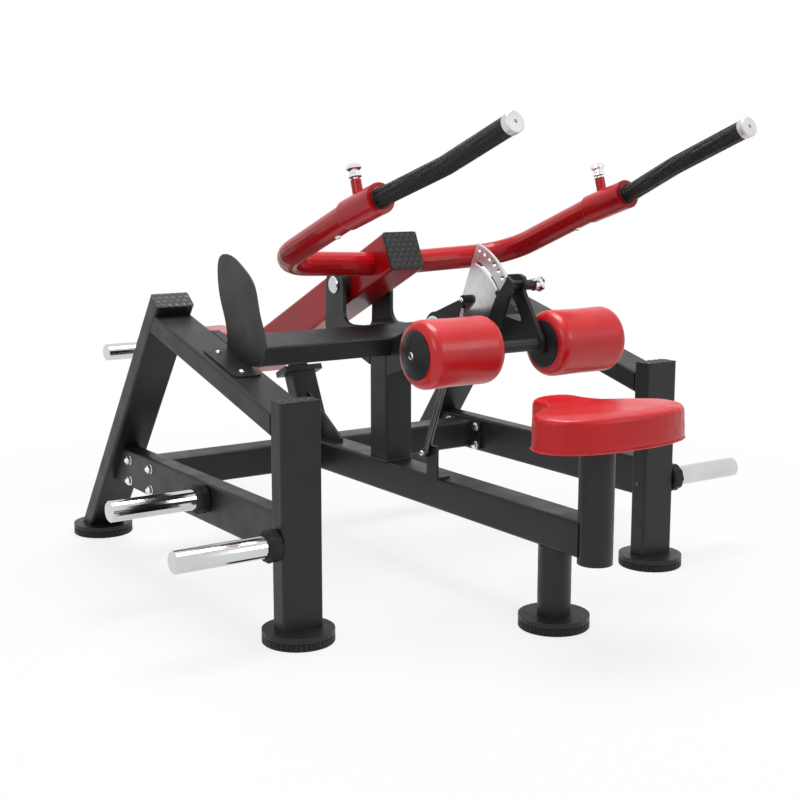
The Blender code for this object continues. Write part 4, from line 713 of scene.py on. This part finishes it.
def pad(name, shape, skin, body, node, held, cap, calm=3):
    """A padded piece in place of a node. held says which points stay, cap how far one may go."""
    bmesh.ops.recalc_face_normals(shape, faces=shape.faces)
    made = add_object(name, as_mesh(name, shape))
    even = made.modifiers.new("even_net", "REMESH")
    even.mode = "VOXEL"
    even.voxel_size = PAD_VOXEL
    graph = bpy.context.evaluated_depsgraph_get()
    net = bpy.data.meshes.new_from_object(made.evaluated_get(graph))
    made.modifiers.clear()
    made.data = net
    still = made.vertex_groups.new(name="held")
    still.add([v.index for v in net.vertices if held(v.co)], 1.0, "REPLACE")
    cover = made.modifiers.new("cover", "CLOTH")
    cover.settings.quality = 5
    cover.settings.use_pressure = True
    cover.settings.uniform_pressure_force = PAD_PRESSURE
    cover.settings.effector_weights.gravity = 0
    cover.settings.vertex_group_mass = "held"
    cover.point_cache.frame_start, cover.point_cache.frame_end = 1, SWELLING_STEPS
    for step in range(1, SWELLING_STEPS + 1):
        SCENE.frame_set(step)
    graph = bpy.context.evaluated_depsgraph_get()
    blown = [v.co.copy() for v in made.evaluated_get(graph).data.vertices]
    made.modifiers.clear()
    SCENE.frame_set(1)
    furthest = 0
    for point, goal in zip(net.vertices, blown):
        move = goal - point.co
        furthest = max(furthest, move.length)
        if move.length > cap:
            move *= cap / move.length
        point.co += move
    print(name, "wanted to swell", round(furthest * 1000, 1), "mm, was let", cap * 1000)
    even_out = bmesh.new()
    even_out.from_mesh(net)
    for calming in range(calm):
        bmesh.ops.smooth_vert(
            even_out, verts=even_out.verts, factor=0.5, use_axis_x=True, use_axis_y=True, use_axis_z=True
        )
    even_out.to_mesh(net)
    even_out.free()
    net.shade_smooth()
    net.materials.clear()
    net.materials.append(skin)
    finer = made.modifiers.new("finer", "SUBSURF")
    finer.levels = finer.render_levels = 1
    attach(made, body)
    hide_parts(node)
    print(name, len(net.vertices), "points")


# %% [markdown]
# ## The saddle
#
# The saddle is wide in front for the seat bones and runs back to a nose between the thighs. Its
# sides stand upright and its top rim is a soft, narrow roll. The CAD node already has that form,
# so the pad starts from a copy of it, merged first because a CAD mesh is loose triangles, and
# drawn in a little all round so that the swelling brings it back to size.

# %% Saddle pad
SADDLE_LOW, SADDLE_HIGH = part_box("seat_cushion")
SADDLE_DRAW_IN, BEAD_RISE, BEAD_DRAW_IN = 0.0008, 0.0068, 0.0026
SADDLE_BOARD, SADDLE_CAP, TOP_BAND = 0.004, 0.0014, 0.02

saddle = merged("seat_cushion")
bmesh.ops.recalc_face_normals(saddle, faces=saddle.faces)
saddle.normal_update()
for point in saddle.verts:
    flat = Vector((point.normal.x, point.normal.y, 0))
    if flat.length > 0.2:
        low_rim = point.co.z < SADDLE_LOW.z + BEAD_RISE
        point.co -= flat.normalized() * (BEAD_DRAW_IN if low_rim else SADDLE_DRAW_IN)
    if point.co.z > SADDLE_HIGH.z - TOP_BAND:
        point.co.z -= SADDLE_DRAW_IN
pad(
    "saddle_pad", saddle, saddle_vinyl, "frame", "seat_cushion",
    lambda co: co.z < SADDLE_LOW.z + SADDLE_BOARD, SADDLE_CAP, calm=2,
)

# %% [markdown]
# ## Piping round the saddle
#
# Where the skin turns under the board, a thin bead of paler vinyl closes it. A bead is a round
# cord that follows the outline. A plane through the saddle just above its underside cuts that
# outline out of the CAD mesh, the loop is drawn in by a little more than the cord's radius and
# becomes a curve with a round section, and the curve is turned into a mesh.

# %% Saddle piping
PIPING_RADIUS, PIPING_DRAW_IN, PIPING_STEP = 0.0024, 0.0008, 0.006
PIPING_HEIGHT = SADDLE_LOW.z + PIPING_RADIUS + 0.0006
OUTLINE_HEIGHT = SADDLE_LOW.z + 0.003


def cord_mesh(points, radius):
    """A round bead along a closed loop of points, as a bmesh."""
    line = bpy.data.curves.new("bead", "CURVE")
    line.dimensions = "3D"
    line.bevel_depth = radius
    line.bevel_resolution = 3
    spline = line.splines.new("POLY")
    spline.points.add(len(points) - 1)
    for target, place in zip(spline.points, points):
        target.co = (*place, 1)
    spline.use_cyclic_u = True
    carrier = add_object("bead", line)
    graph = bpy.context.evaluated_depsgraph_get()
    mesh = bpy.data.meshes.new_from_object(carrier.evaluated_get(graph))
    bpy.data.objects.remove(carrier)
    shape = bmesh.new()
    shape.from_mesh(mesh)
    bmesh.ops.remove_doubles(shape, verts=shape.verts, dist=1e-6)
    bpy.data.meshes.remove(mesh)
    return shape


seat_line = evenly(outline_of("seat_cushion", (0, 0, OUTLINE_HEIGHT), (0, 0, 1)), PIPING_STEP)
ahead, behind = seat_line[1:] + seat_line[:1], seat_line[-1:] + seat_line[:-1]
area = sum(a.x * b.y - b.x * a.y for a, b in zip(seat_line, ahead))
inward = -1 if area > 0 else 1
drawn = []
for before, here, after in zip(behind, seat_line, ahead):
    along = (after - before).normalized()
    across = Vector((along.y, -along.x, 0)) * inward
    drawn.append(Vector((here.x, here.y, PIPING_HEIGHT)) + across * (PIPING_RADIUS + PIPING_DRAW_IN))
piece("saddle_piping", cord_mesh(drawn, PIPING_RADIUS), piping_vinyl, "frame", 80)

# %% [markdown]
# ## The thigh rollers
#
# Each roller is a foam tube in a sewn skin. Its shoulders are soft and its barrel is very slightly
# waisted, because the skin is drawn over the ends. The profile is spun round the axle. The skin
# ends under a black disc at each end.

# %% Roller pads
ROLLER_CENTRE = at(0, -0.0617, 0.621)
ROLLER_RADIUS, ROLLER_SHOULDER, ROLLER_BORE = 0.079, 0.022, 0.0155
ROLLER_INNER, ROLLER_OUTER = 0.0776, 0.280
ROLLER_DRAW_IN, ROLLER_WAIST, ROLLER_HELD, ROLLER_CAP = 0.002, 0.0012, 0.045, 0.003


def roller_profile():
    """Radius and distance from the machine's middle, from the bore's outer end to its inner end."""
    corner = ROLLER_RADIUS - ROLLER_SHOULDER - ROLLER_DRAW_IN
    low, high = ROLLER_INNER + ROLLER_DRAW_IN, ROLLER_OUTER - ROLLER_DRAW_IN
    outer = []
    for degrees in range(0, 91, 15):
        a = math.radians(degrees)
        outer.append((
            corner + ROLLER_SHOULDER * math.sin(a), high - ROLLER_SHOULDER * (1 - math.cos(a))
        ))
    inner = [(radius, low + high - reach) for radius, reach in reversed(outer)]
    waist = [(ROLLER_RADIUS - ROLLER_DRAW_IN - ROLLER_WAIST, (low + high) / 2)]
    return [(ROLLER_BORE, high)] + outer + waist + inner + [(ROLLER_BORE, low), (ROLLER_BORE, high)]


def near_axle(co):
    """Whether a point lies close to the rollers' axle."""
    return math.hypot(co.y - ROLLER_CENTRE.y, co.z - ROLLER_CENTRE.z) < ROLLER_HELD


for side, sign in SIDES:
    shape = put(spun(roller_profile(), 56), ROLLER_CENTRE, X_AXIS * sign)
    roller = f"{side}_roller"
    pad(roller + "_pad", shape, roller_vinyl, roller, roller, near_axle, ROLLER_CAP)

# %% [markdown]
# ## Discs and screws on the rollers
#
# The outer disc is domed, with a rolled rim, and has a small ringed opening in the middle for the
# head of the screw that holds it on the axle. The discs are lathe work. The head is a short round
# bar with a rounded rim, and its hexagon socket is a thin dark plate laid on top: painted shade,
# where the real socket is a recess.

# %% Roller discs
DISC_RADIUS, DISC_FOOT, DOME = 0.055, 0.2795, 0.0105
DISC_TOP, DISC_NEAR = DISC_FOOT + DOME, ROLLER_INNER + 0.0015
OUTER_DISC = [
    (0.0110, DISC_TOP - 0.0032), (0.0112, DISC_TOP - 0.0006), (0.0125, DISC_TOP + 0.0002),
    (0.0150, DISC_TOP), (0.0300, DISC_FOOT + DOME * 0.78), (0.0440, DISC_FOOT + DOME * 0.42),
    (DISC_RADIUS - 0.003, DISC_FOOT + 0.0016), (DISC_RADIUS, DISC_FOOT + 0.0002),
    (DISC_RADIUS - 0.0005, DISC_FOOT - 0.0040), (0.0110, DISC_FOOT - 0.0045),
    (0.0110, DISC_TOP - 0.0032),
]
INNER_DISC = [
    (0.0152, DISC_NEAR - 0.0035), (0.0300, DISC_NEAR - 0.0035),
    (DISC_RADIUS - 0.006, DISC_NEAR - 0.0030), (DISC_RADIUS, DISC_NEAR - 0.0005),
    (DISC_RADIUS, DISC_NEAR + 0.003), (0.0152, DISC_NEAR + 0.003), (0.0152, DISC_NEAR - 0.0035),
]
SOCKET_GAP, SOCKET_THICK, SCREW_SINK = 0.00005, 0.0003, 0.0024


def bar(segments, radius, height):
    """A straight bar with so many sides, standing on Z = 0."""
    shape = bmesh.new()
    bmesh.ops.create_cone(
        shape, cap_ends=True, segments=segments, radius1=radius, radius2=radius, depth=height
    )
    return lift(shape, height / 2)


def top_edges(shape, height):
    """The edges round the top of a shape of that height."""
    return [e for e in shape.edges if all(v.co.z > height * 0.9 for v in e.verts)]


def socket_screw(radius, height):
    """The head of a low cap screw, and a thin dark plate of painted shade for its hexagon socket,
    standing on Z = 0.
    """
    head = bar(36, radius, height)
    bevel(head, top_edges(head, height), height * 0.3, 3)
    socket = bmesh.new()
    # The socket is a dark plate on the head: painted shade in place of a recess.
    bmesh.ops.create_circle(socket, cap_ends=True, segments=6, radius=radius * 0.48)
    lift(socket, height + SOCKET_GAP)
    lip = bmesh.ops.extrude_face_region(socket, geom=socket.faces[:])["geom"]
    bmesh.ops.translate(socket, vec=(0, 0, SOCKET_THICK), verts=only(bmesh.types.BMVert, lip))
    return head, socket


for side, sign in SIDES:
    way = X_AXIS * sign
    for which, profile in (("outer", OUTER_DISC), ("inner", INNER_DISC)):
        disc = put(spun(profile, 64), ROLLER_CENTRE, way)
        piece(f"{side}_roller_{which}_disc", disc, disc_plastic, f"{side}_roller", 50)
    head, socket = [
        put(part, ROLLER_CENTRE + way * (DISC_TOP - SCREW_SINK), way)
        for part in socket_screw(0.0085, 0.0030)
    ]
    piece(f"{side}_roller_screw", head, chrome, "thigh_arm", 40)
    # The socket's plate takes the dark disc finish: painted shade.
    piece(f"{side}_roller_screw_socket_shade", socket, disc_plastic, "thigh_arm", 40)

# %% [markdown]
# ## Rubber collars on the storage horns
#
# A plate that is pushed home on a storage horn meets a fat, lumpy rubber collar instead of the
# paint. It is a ring with a few soft lobes. A spun ring gives the round form, and moving each
# point in and out with a cosine of its angle gives the lobes.

# %% Horn collars
COLLAR_LONG, COLLAR_RADIUS, HORN_RADIUS = 0.032, 0.0355, 0.025
COLLAR_BORE, LOBES, LOBE_SHARE = HORN_RADIUS + 0.0006, 10, 0.035


def lobed_collar():
    """A ring with soft lobes, standing on Z = 0."""
    shape = spun(
        [
            (COLLAR_BORE, COLLAR_LONG), (COLLAR_RADIUS - 0.006, COLLAR_LONG),
            (COLLAR_RADIUS - 0.002, COLLAR_LONG - 0.002), (COLLAR_RADIUS, COLLAR_LONG - 0.006),
            (COLLAR_RADIUS - 0.0015, COLLAR_LONG * 0.5), (COLLAR_RADIUS, 0.006),
            (COLLAR_RADIUS - 0.002, 0.002), (COLLAR_RADIUS - 0.006, 0.0005),
            (COLLAR_BORE, 0.0005), (COLLAR_BORE, COLLAR_LONG),
        ],
        72,
    )
    for point in shape.verts:
        radius = math.hypot(point.co.x, point.co.y)
        if radius > HORN_RADIUS + 0.002:
            lobe = math.cos(LOBES * math.atan2(point.co.y, point.co.x))
            out = radius - HORN_RADIUS
            point.co.xy *= 1 + LOBE_SHARE * lobe * out / (COLLAR_RADIUS - HORN_RADIUS)
    return shape


for side, sign in SIDES:
    roots = (("front", at(sign * 0.5783, 0.025, 0.224)), ("side", at(sign * 0.5533, 0.420, 0.245)))
    for which, root in roots:
        collar = put(lobed_collar(), root, X_AXIS * sign)
        piece(f"{side}_{which}_horn_collar", collar, hard_rubber, "frame", 50)

# %% [markdown]
# ## Nuts and bolts
#
# The side frames, the upper crossbar and the panel are bolted. The fasteners are chrome: domed
# cap nuts outside the lower beams, flanged hexagon heads inside them and on the crossbar's
# flanges, and button heads on the panel's flange and under the yoke. Each post has one button
# head of darker metal. A hexagon head is a six-sided bar with its top edges bevelled, and the dome of a
# cap nut is a quarter circle spun on top of it.

# %% Fasteners
WASHER_THICK, HEAD_FOOT = 0.0016, 0.0015
NUT_ROWS = [(y, z) for y in (0.737, 0.869) for z in (0.201, 0.2565)]
NUT_X, HEAD_X = 0.5532, 0.4932


def washer(radius):
    """A thin round washer, standing on Z = 0."""
    top = WASHER_THICK
    return spun([(0, top), (radius - 0.0006, top), (radius, top - 0.0005), (radius, 0), (0, 0)], 32)


def hexagon(across, height):
    """A hexagon head with a turned-down top edge, standing on Z = 0."""
    shape = bar(6, across / math.sqrt(3), height)
    bevel(shape, top_edges(shape, height), height * 0.16, 2)
    return shape


def button_head(radius, height, foot=0.0):
    """A round head that is domed from foot up to height."""
    arc = [math.radians(a) for a in range(0, 91, 15)]
    profile = [(radius * math.sin(a), foot + (height - foot) * math.cos(a)) for a in arc]
    return spun(profile + [(0, foot)], 24)


def dome_nut(across, height):
    """A cap nut: washer, hexagon and dome."""
    nut = lift(hexagon(across, height * 0.5), HEAD_FOOT)
    return gather([washer(across * 0.62), nut, button_head(across * 0.44, height, height * 0.48)])


def bolt_head(across, height):
    """A hexagon head on its washer."""
    return gather([washer(across * 0.66), lift(hexagon(across, height), HEAD_FOOT)])


beam_nuts = []
for side, sign in SIDES:
    for y, z in NUT_ROWS:
        beam_nuts.append(put(dome_nut(0.0195, 0.0155), at(sign * NUT_X, y, z), X_AXIS * sign))
        beam_nuts.append(put(bolt_head(0.0195, 0.007), at(sign * HEAD_X, y, z), X_AXIS * -sign))
piece("beam_nuts", gather(beam_nuts), chrome, "frame", 30)

# %% Crossbar, panel, post and yoke fasteners
CROSSBAR, BAR_FLANGE = at(0, 0.4404, 0.5858), 0.4585
PANEL_BOLT_X, PANEL_BOLT_RISE = -0.532, 0.0044
YOKE_BOLT = at(0, 0.146, 0.898) + Vector((0, -0.0108, -0.0275))
YOKE_HALF_WIDTH, UNDER_YOKE = 0.352, Vector((0, -0.36, -0.93))

bar_bolts = []
for side, sign in SIDES:
    for along in (-0.068, 0.068):
        place = CROSSBAR + UP_BEAM * along + X_AXIS * sign * BAR_FLANGE
        bar_bolts.append(put(bolt_head(0.017, 0.006), place, X_AXIS * -sign, UP_BEAM))
for y in (0.262, 0.378):
    place = at(PANEL_BOLT_X, y, beam_top(y)) + OFF_BEAM * PANEL_BOLT_RISE
    bar_bolts.append(put(button_head(0.0068, 0.0045), place, OFF_BEAM))
piece("crossbar_and_placard_bolts", gather(bar_bolts), chrome, "frame", 30)

post_bolts, yoke_bolts = [], []
for side, sign in SIDES:
    post_place = at(sign * 0.4780, 0.0285, 0.2195)
    post_bolts.append(put(button_head(0.0055, 0.0035), post_place, X_AXIS * -sign))
    yoke_place = YOKE_BOLT + X_AXIS * sign * YOKE_HALF_WIDTH
    yoke_bolts.append(put(button_head(0.0075, 0.0055), yoke_place, UNDER_YOKE))
piece("post_bolts", gather(post_bolts), gunmetal, "frame", 30)
piece("yoke_bolts", gather(yoke_bolts), chrome, "lever", 30)

# %% [markdown]
# ## Pin ends, strut nuts and rings
#
# The lever's pin and the thigh shaft show bright round ends. A lathe leaves a small centre hole
# in such a face, and a shallow ring near its edge. The gas strut's two eyes are held by nuts, and
# a dark ring closes the cylinder where the rod comes out.

# %% Pin ends
def turned_face(radius):
    """A thin turned cover with a centre dimple and one shallow ring, standing on Z = 0."""
    return spun(
        [
            (0, 0.0006), (radius * 0.10, 0.0006), (radius * 0.16, 0.0014), (radius * 0.62, 0.0014),
            (radius * 0.66, 0.0010), (radius * 0.72, 0.0010), (radius * 0.76, 0.0014),
            (radius * 0.94, 0.0014), (radius, 0.0008), (radius, 0.0), (0, 0.0),
        ],
        48,
    )


FACE_SINK = 0.0004
LEVER_PIN, THIGH_AXIS = at(0, 0.600, 0.7185), at(0, 0.178, 0.639)
pin_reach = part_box("lever_pivot_pin")[1].x - FACE_SINK
covers = [
    put(turned_face(0.0195), LEVER_PIN + X_AXIS * sign * pin_reach, X_AXIS * sign)
    for side, sign in SIDES
]
piece("lever_pin_faces", gather(covers), aluminium, "lever", 30)

shaft_low, shaft_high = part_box("thigh_shaft")
ends = ((shaft_low.x + FACE_SINK, -1), (shaft_high.x - FACE_SINK, 1))
covers = [put(turned_face(0.030), THIGH_AXIS + X_AXIS * x, X_AXIS * sign) for x, sign in ends]
piece("thigh_shaft_faces", gather(covers), aluminium, "thigh_arm", 30)

# %% Strut nuts and ring
STRUT_X, NUT_OFFSET, RING_REACH = -0.066, X_AXIS * 0.0092, 0.2185
STRUT_FOOT, STRUT_HEAD = at(STRUT_X, 0.198, 0.337), at(STRUT_X, 0.041, 0.723)
ALONG_STRUT = (STRUT_HEAD - STRUT_FOOT).normalized()
low_nut = put(hexagon(0.012, 0.006), STRUT_FOOT - NUT_OFFSET, -X_AXIS)
piece("strut_low_nut", low_nut, chrome, "frame", 30)
high_nut = put(hexagon(0.009, 0.005), STRUT_HEAD - NUT_OFFSET, -X_AXIS)
piece("strut_high_nut", high_nut, chrome, "strut_rod", 30)
ring = spun(
    [
        (0.0045, 0.0), (0.0090, 0.0), (0.0094, 0.0010), (0.0094, 0.0070), (0.0080, 0.0090),
        (0.0045, 0.0090), (0.0045, 0.0),
    ],
    28,
)
put(ring, STRUT_FOOT + ALONG_STRUT * RING_REACH, ALONG_STRUT)
piece("strut_end_ring", ring, disc_plastic, "strut_cylinder", 40)

# %% [markdown]
# ## Seals at the grips' roots
#
# Each grip turns in the red collar at the yoke's end. A dark seal in the collar's mouth closes
# the step to the rubber sleeve. The seal is a thin turned washer round the grip's own axis, and
# it turns with the grip.

# %% Grip seals
OUT_OF_COLLAR = Vector((0, -math.cos(COLLAR_ANGLE), math.sin(COLLAR_ANGLE)))
COLLAR_MOUTH = at(0, 0.086, 0.921) + OUT_OF_COLLAR * 0.132
SEAL_BORE, SEAL_FACE = 0.0212, 0.0042
SEAL_PROFILE = [
    (SEAL_BORE, SEAL_FACE), (0.0226, SEAL_FACE), (0.0238, SEAL_FACE - 0.0012), (0.0238, 0.0006),
    (SEAL_BORE, 0.0006), (SEAL_BORE, SEAL_FACE),
]
for side, sign in SIDES:
    mouth = COLLAR_MOUTH + X_AXIS * sign * YOKE_HALF_WIDTH
    seal = put(spun(SEAL_PROFILE, 40), mouth, OUT_OF_COLLAR)
    piece(f"{side}_grip_seal", seal, disc_plastic, f"{side}_grip", 30)

# %% [markdown]
# ## Real scales on the caps
#
# A scale is a low dome that leans a little, so that its lower edge stands proud and its upper
# edge sinks under the scale above it. One dome is spun, then stamped in rows that are shifted by
# half a step. Domes that reach over the cap's rim are cut off by four planes, and each cut is
# filled, so every scale stays a closed body.

# %% Stamp the scales
SCALE_ROW, SCALE_LEAN = SCALE_DEEP / 2, math.radians(5.5)
SCALE_OVERHANG, SCALE_RIM = 0.006, 0.0012
SCALE_PROFILE = [(0, 0.0010), (0.0060, 0.0007), (0.0092, -0.0004), (0.0060, -0.0020), (0, -0.0020)]


def scaled_face(centre, normal, wide, deep):
    """Rows of overlapping scales on a flat face, trimmed to it."""
    scales = []
    rows = math.ceil(deep / SCALE_ROW / 2) + 1
    columns = math.ceil(wide / SCALE_WIDE / 2) + 1
    tilt = Matrix.Rotation(-SCALE_LEAN, 4, "X")
    for row in range(-rows, rows + 1):
        for column in range(-columns, columns + 1):
            x, y = (column + 0.5 * (row % 2)) * SCALE_WIDE, row * SCALE_ROW
            if abs(x) < wide / 2 + SCALE_OVERHANG and abs(y) < deep / 2 + SCALE_OVERHANG:
                dome = spun(SCALE_PROFILE, 14)
                place = Matrix.Translation((x, y, 0)) @ tilt
                bmesh.ops.transform(dome, matrix=place, verts=dome.verts)
                scales.append(dome)
    whole = gather(scales)
    for axis, reach in ((X_AXIS, wide / 2 - SCALE_RIM), (Y_AXIS, deep / 2 - SCALE_RIM)):
        for facing in (-axis, axis):
            cut = bmesh.ops.bisect_plane(
                whole, geom=whole.verts[:] + whole.edges[:] + whole.faces[:],
                plane_co=facing * reach, plane_no=facing, clear_outer=True,
            )["geom_cut"]
            bmesh.ops.edgeloop_fill(whole, edges=only(bmesh.types.BMEdge, cut))
    return put(whole, centre, normal, X_AXIS)


def face_of(node, facing):
    """The middle of a node's outermost flat face in a direction."""
    points = [vertex.co for vertex in frame["nodes"][node].data.vertices]
    reach = max(point.dot(facing) for point in points)
    rim = [point for point in points if point.dot(facing) > reach - 1e-4]
    low = Vector([min(point[i] for point in rim) for i in range(3)])
    high = Vector([max(point[i] for point in rim) for i in range(3)])
    return (low + high) / 2


LEVER_UP = Vector((0, -math.cos(LEVER_ANGLE), math.sin(LEVER_ANGLE)))
UP_LEG = Vector((0, -math.cos(LEG_ANGLE), math.sin(LEG_ANGLE)))
lever_scales = scaled_face(face_of("lever_front_cap", LEVER_UP), LEVER_UP, 0.100, 0.100)
piece("lever_cap_scales", lever_scales, plain_cap, "lever", 40)
for side, sign in SIDES:
    leg_scales = scaled_face(face_of(f"{side}_leg_cap", UP_LEG), UP_LEG, 0.100, 0.050)
    post_scales = scaled_face(face_of(f"{side}_post_cap", Z_AXIS), Z_AXIS, 0.100, 0.050)
    piece(f"{side}_cap_scales", gather([leg_scales, post_scales]), plain_cap, "frame", 40)

# %% [markdown]
# ## Weld beads
#
# Where one tube meets another, a welder leaves a rippled bead. It is a thin cord laid in the
# corner. The ripples come from making the cord's path wave a little as it goes round, and the
# paint covers it all, so it takes the frame's finish.

# %% Beads round the tubes' ends
BEAD, CORNER, RIPPLE_STEP, RIPPLE = 0.0030, 0.007, 0.004, 0.00045
QUARTERS = ((1, 1, 0), (-1, 1, 90), (-1, -1, 180), (1, -1, 270))


def weld_round(centre, across, along, half_a, half_b):
    """A bead round a rectangle with rounded corners, in the plane of two directions."""
    outline = []
    for sign_a, sign_b, start in QUARTERS:
        for k in range(5):
            angle = math.radians(start + 90 * k / 4)
            outline.append((
                sign_a * (half_a - CORNER) + CORNER * math.cos(angle),
                sign_b * (half_b - CORNER) + CORNER * math.sin(angle),
            ))
    points, travelled = [], 0.0
    for (a0, b0), (a1, b1) in zip(outline, outline[1:] + outline[:1]):
        length = math.hypot(a1 - a0, b1 - b0)
        count = max(1, round(length / RIPPLE_STEP))
        for k in range(count):
            t = k / count
            wave = RIPPLE * math.sin((travelled + length * t) / RIPPLE_STEP * 2.4)
            a, b = (a0 + (a1 - a0) * t) * (1 + wave), (b0 + (b1 - b0) * t) * (1 + wave)
            points.append(centre + across * a + along * b + across.cross(along) * wave)
        travelled += length
    return cord_mesh(points, BEAD)


COLUMN_Y, COLUMN_FOOT, COLUMN_CUT = 0.4513, 0.2735, 0.0125
BAR_TUBE_END = 0.4555
column_top = at(0, COLUMN_Y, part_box("column")[1].z - COLUMN_CUT)
beads = [
    weld_round(at(0, COLUMN_Y, COLUMN_FOOT), X_AXIS, Y_AXIS, 0.0405, 0.0405),
    weld_round(column_top, X_AXIS, UP_BEAM, 0.0405, 0.0420),
]
for side, sign in SIDES:
    beads.append(weld_round(at(sign * 0.528, 0.0508, 0.232), X_AXIS, Z_AXIS, 0.0255, 0.0505))
    bar_end = CROSSBAR + X_AXIS * sign * BAR_TUBE_END
    beads.append(weld_round(bar_end, UP_BEAM, OFF_BEAM, 0.0505, 0.0255))
piece("frame_weld_beads", gather(beads), frame_coat, "frame", 80)

# %% [markdown]
# ## Floor and light
#
# The machine stands in a white studio: a pale floor that fades into a white surround, so that no
# horizon shows. The fade is a mix between a plain pale surface, which keeps the shadow, and plain
# white, which only camera, mirror and glass rays see. The lamps are large and soft. The light
# comes mostly from above, a little more from the front left, as the pale left faces show.

# %% Floor
FLOOR_RADIUS = 9.0
floor_paint = finish("floor_paint", (0.86, 0.86, 0.86), 0.9, Specular_IOR_Level=0.1)
white = add_node(floor_paint, "ShaderNodeEmission", Color=(1, 1, 1, 1), Strength=1.0)


def seen_directly(owner):
    """1 for camera, glossy and transmission rays, else 0."""
    rays = add_node(owner, "ShaderNodeLightPath").outputs
    total = rays["Is Camera Ray"]
    for name in ("Is Glossy Ray", "Is Transmission Ray"):
        total = combine(owner, "ADD", total, rays[name], clamp=True)
    return total


distance = add_node(floor_paint, "ShaderNodeVectorMath")
distance.operation = "LENGTH"
join(coordinates(floor_paint), distance.inputs[0])
fade = spread(floor_paint, distance.outputs["Value"], 0.80, 1.0, 0.9, 2.0)
blend = add_node(floor_paint, "ShaderNodeMixShader")
join(combine(floor_paint, "MULTIPLY", fade, seen_directly(floor_paint)), blend.inputs["Fac"])
join(shader_of(floor_paint).outputs["BSDF"], blend.inputs[1])
join(white.outputs["Emission"], blend.inputs[2])
join(blend.outputs["Shader"], floor_paint.node_tree.nodes["Material Output"].inputs["Surface"])

ground = bmesh.new()
bmesh.ops.create_circle(ground, cap_ends=True, segments=96, radius=FLOOR_RADIUS)
studio_floor = add_object("studio_floor", as_mesh("studio_floor", ground))
studio_floor.data.materials.append(floor_paint)
studio_floor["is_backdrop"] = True
print("floor radius", FLOOR_RADIUS)

# %% White surround
AMBIENT = 0.36
world = bpy.data.worlds.new("white_surround")
SCENE.world = world
world.use_nodes = True
world.node_tree.nodes.clear()
backdrop = add_node(world, "ShaderNodeBackground", Color=(1, 1, 1, 1), Strength=1.0)
ambient = add_node(world, "ShaderNodeBackground", Color=(1, 1, 1, 1), Strength=AMBIENT)
either = add_node(world, "ShaderNodeMixShader")
result = add_node(world, "ShaderNodeOutputWorld")
join(seen_directly(world), either.inputs["Fac"])
join(ambient.outputs["Background"], either.inputs[1])
join(backdrop.outputs["Background"], either.inputs[2])
join(either.outputs["Shader"], result.inputs["Surface"])
print("ambient strength", AMBIENT)

# %% Lamps
def soft_lamp(name, place, target, size, power):
    """A square lamp that faces a target."""
    data = bpy.data.lights.new(name, "AREA")
    data.shape = "SQUARE"
    data.size = size
    data.energy = power
    lamp = add_object(name, data)
    lamp.location = place
    lamp.rotation_euler = (Vector(target) - Vector(place)).to_track_quat("-Z", "Y").to_euler()


soft_lamp("overhead", (0.1, -0.2, 3.4), (0, 0, 0.4), 1.7, 96)
soft_lamp("front_left", (-3.0, -1.6, 2.2), (0, 0, 0.5), 1.2, 20)
soft_lamp("front_right", (1.6, -3.4, 2.0), (0, 0, 0.5), 1.2, 16)
print("three soft lamps")

# %% [markdown]
# ## Camera
#
# The photograph was taken from the front left, a little above the seat, with a long lens. The
# place and lens were fitted to the edges of the tubes in it, so the render lies over it.

# %% Camera and visual box
eye = bpy.data.cameras.new("eye")
eye.lens = 62.45
eye.sensor_width = 36
camera = add_object("camera", eye)
camera.location = (-1.9748, -3.0264, 1.0311)
camera.rotation_euler = (math.radians(80.34), 0, math.radians(-34.04))
SCENE.camera = camera
SCENE.view_settings.view_transform = "Standard"

low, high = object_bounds()
print("visual box, metres:", [round(v, 4) for v in high - low])
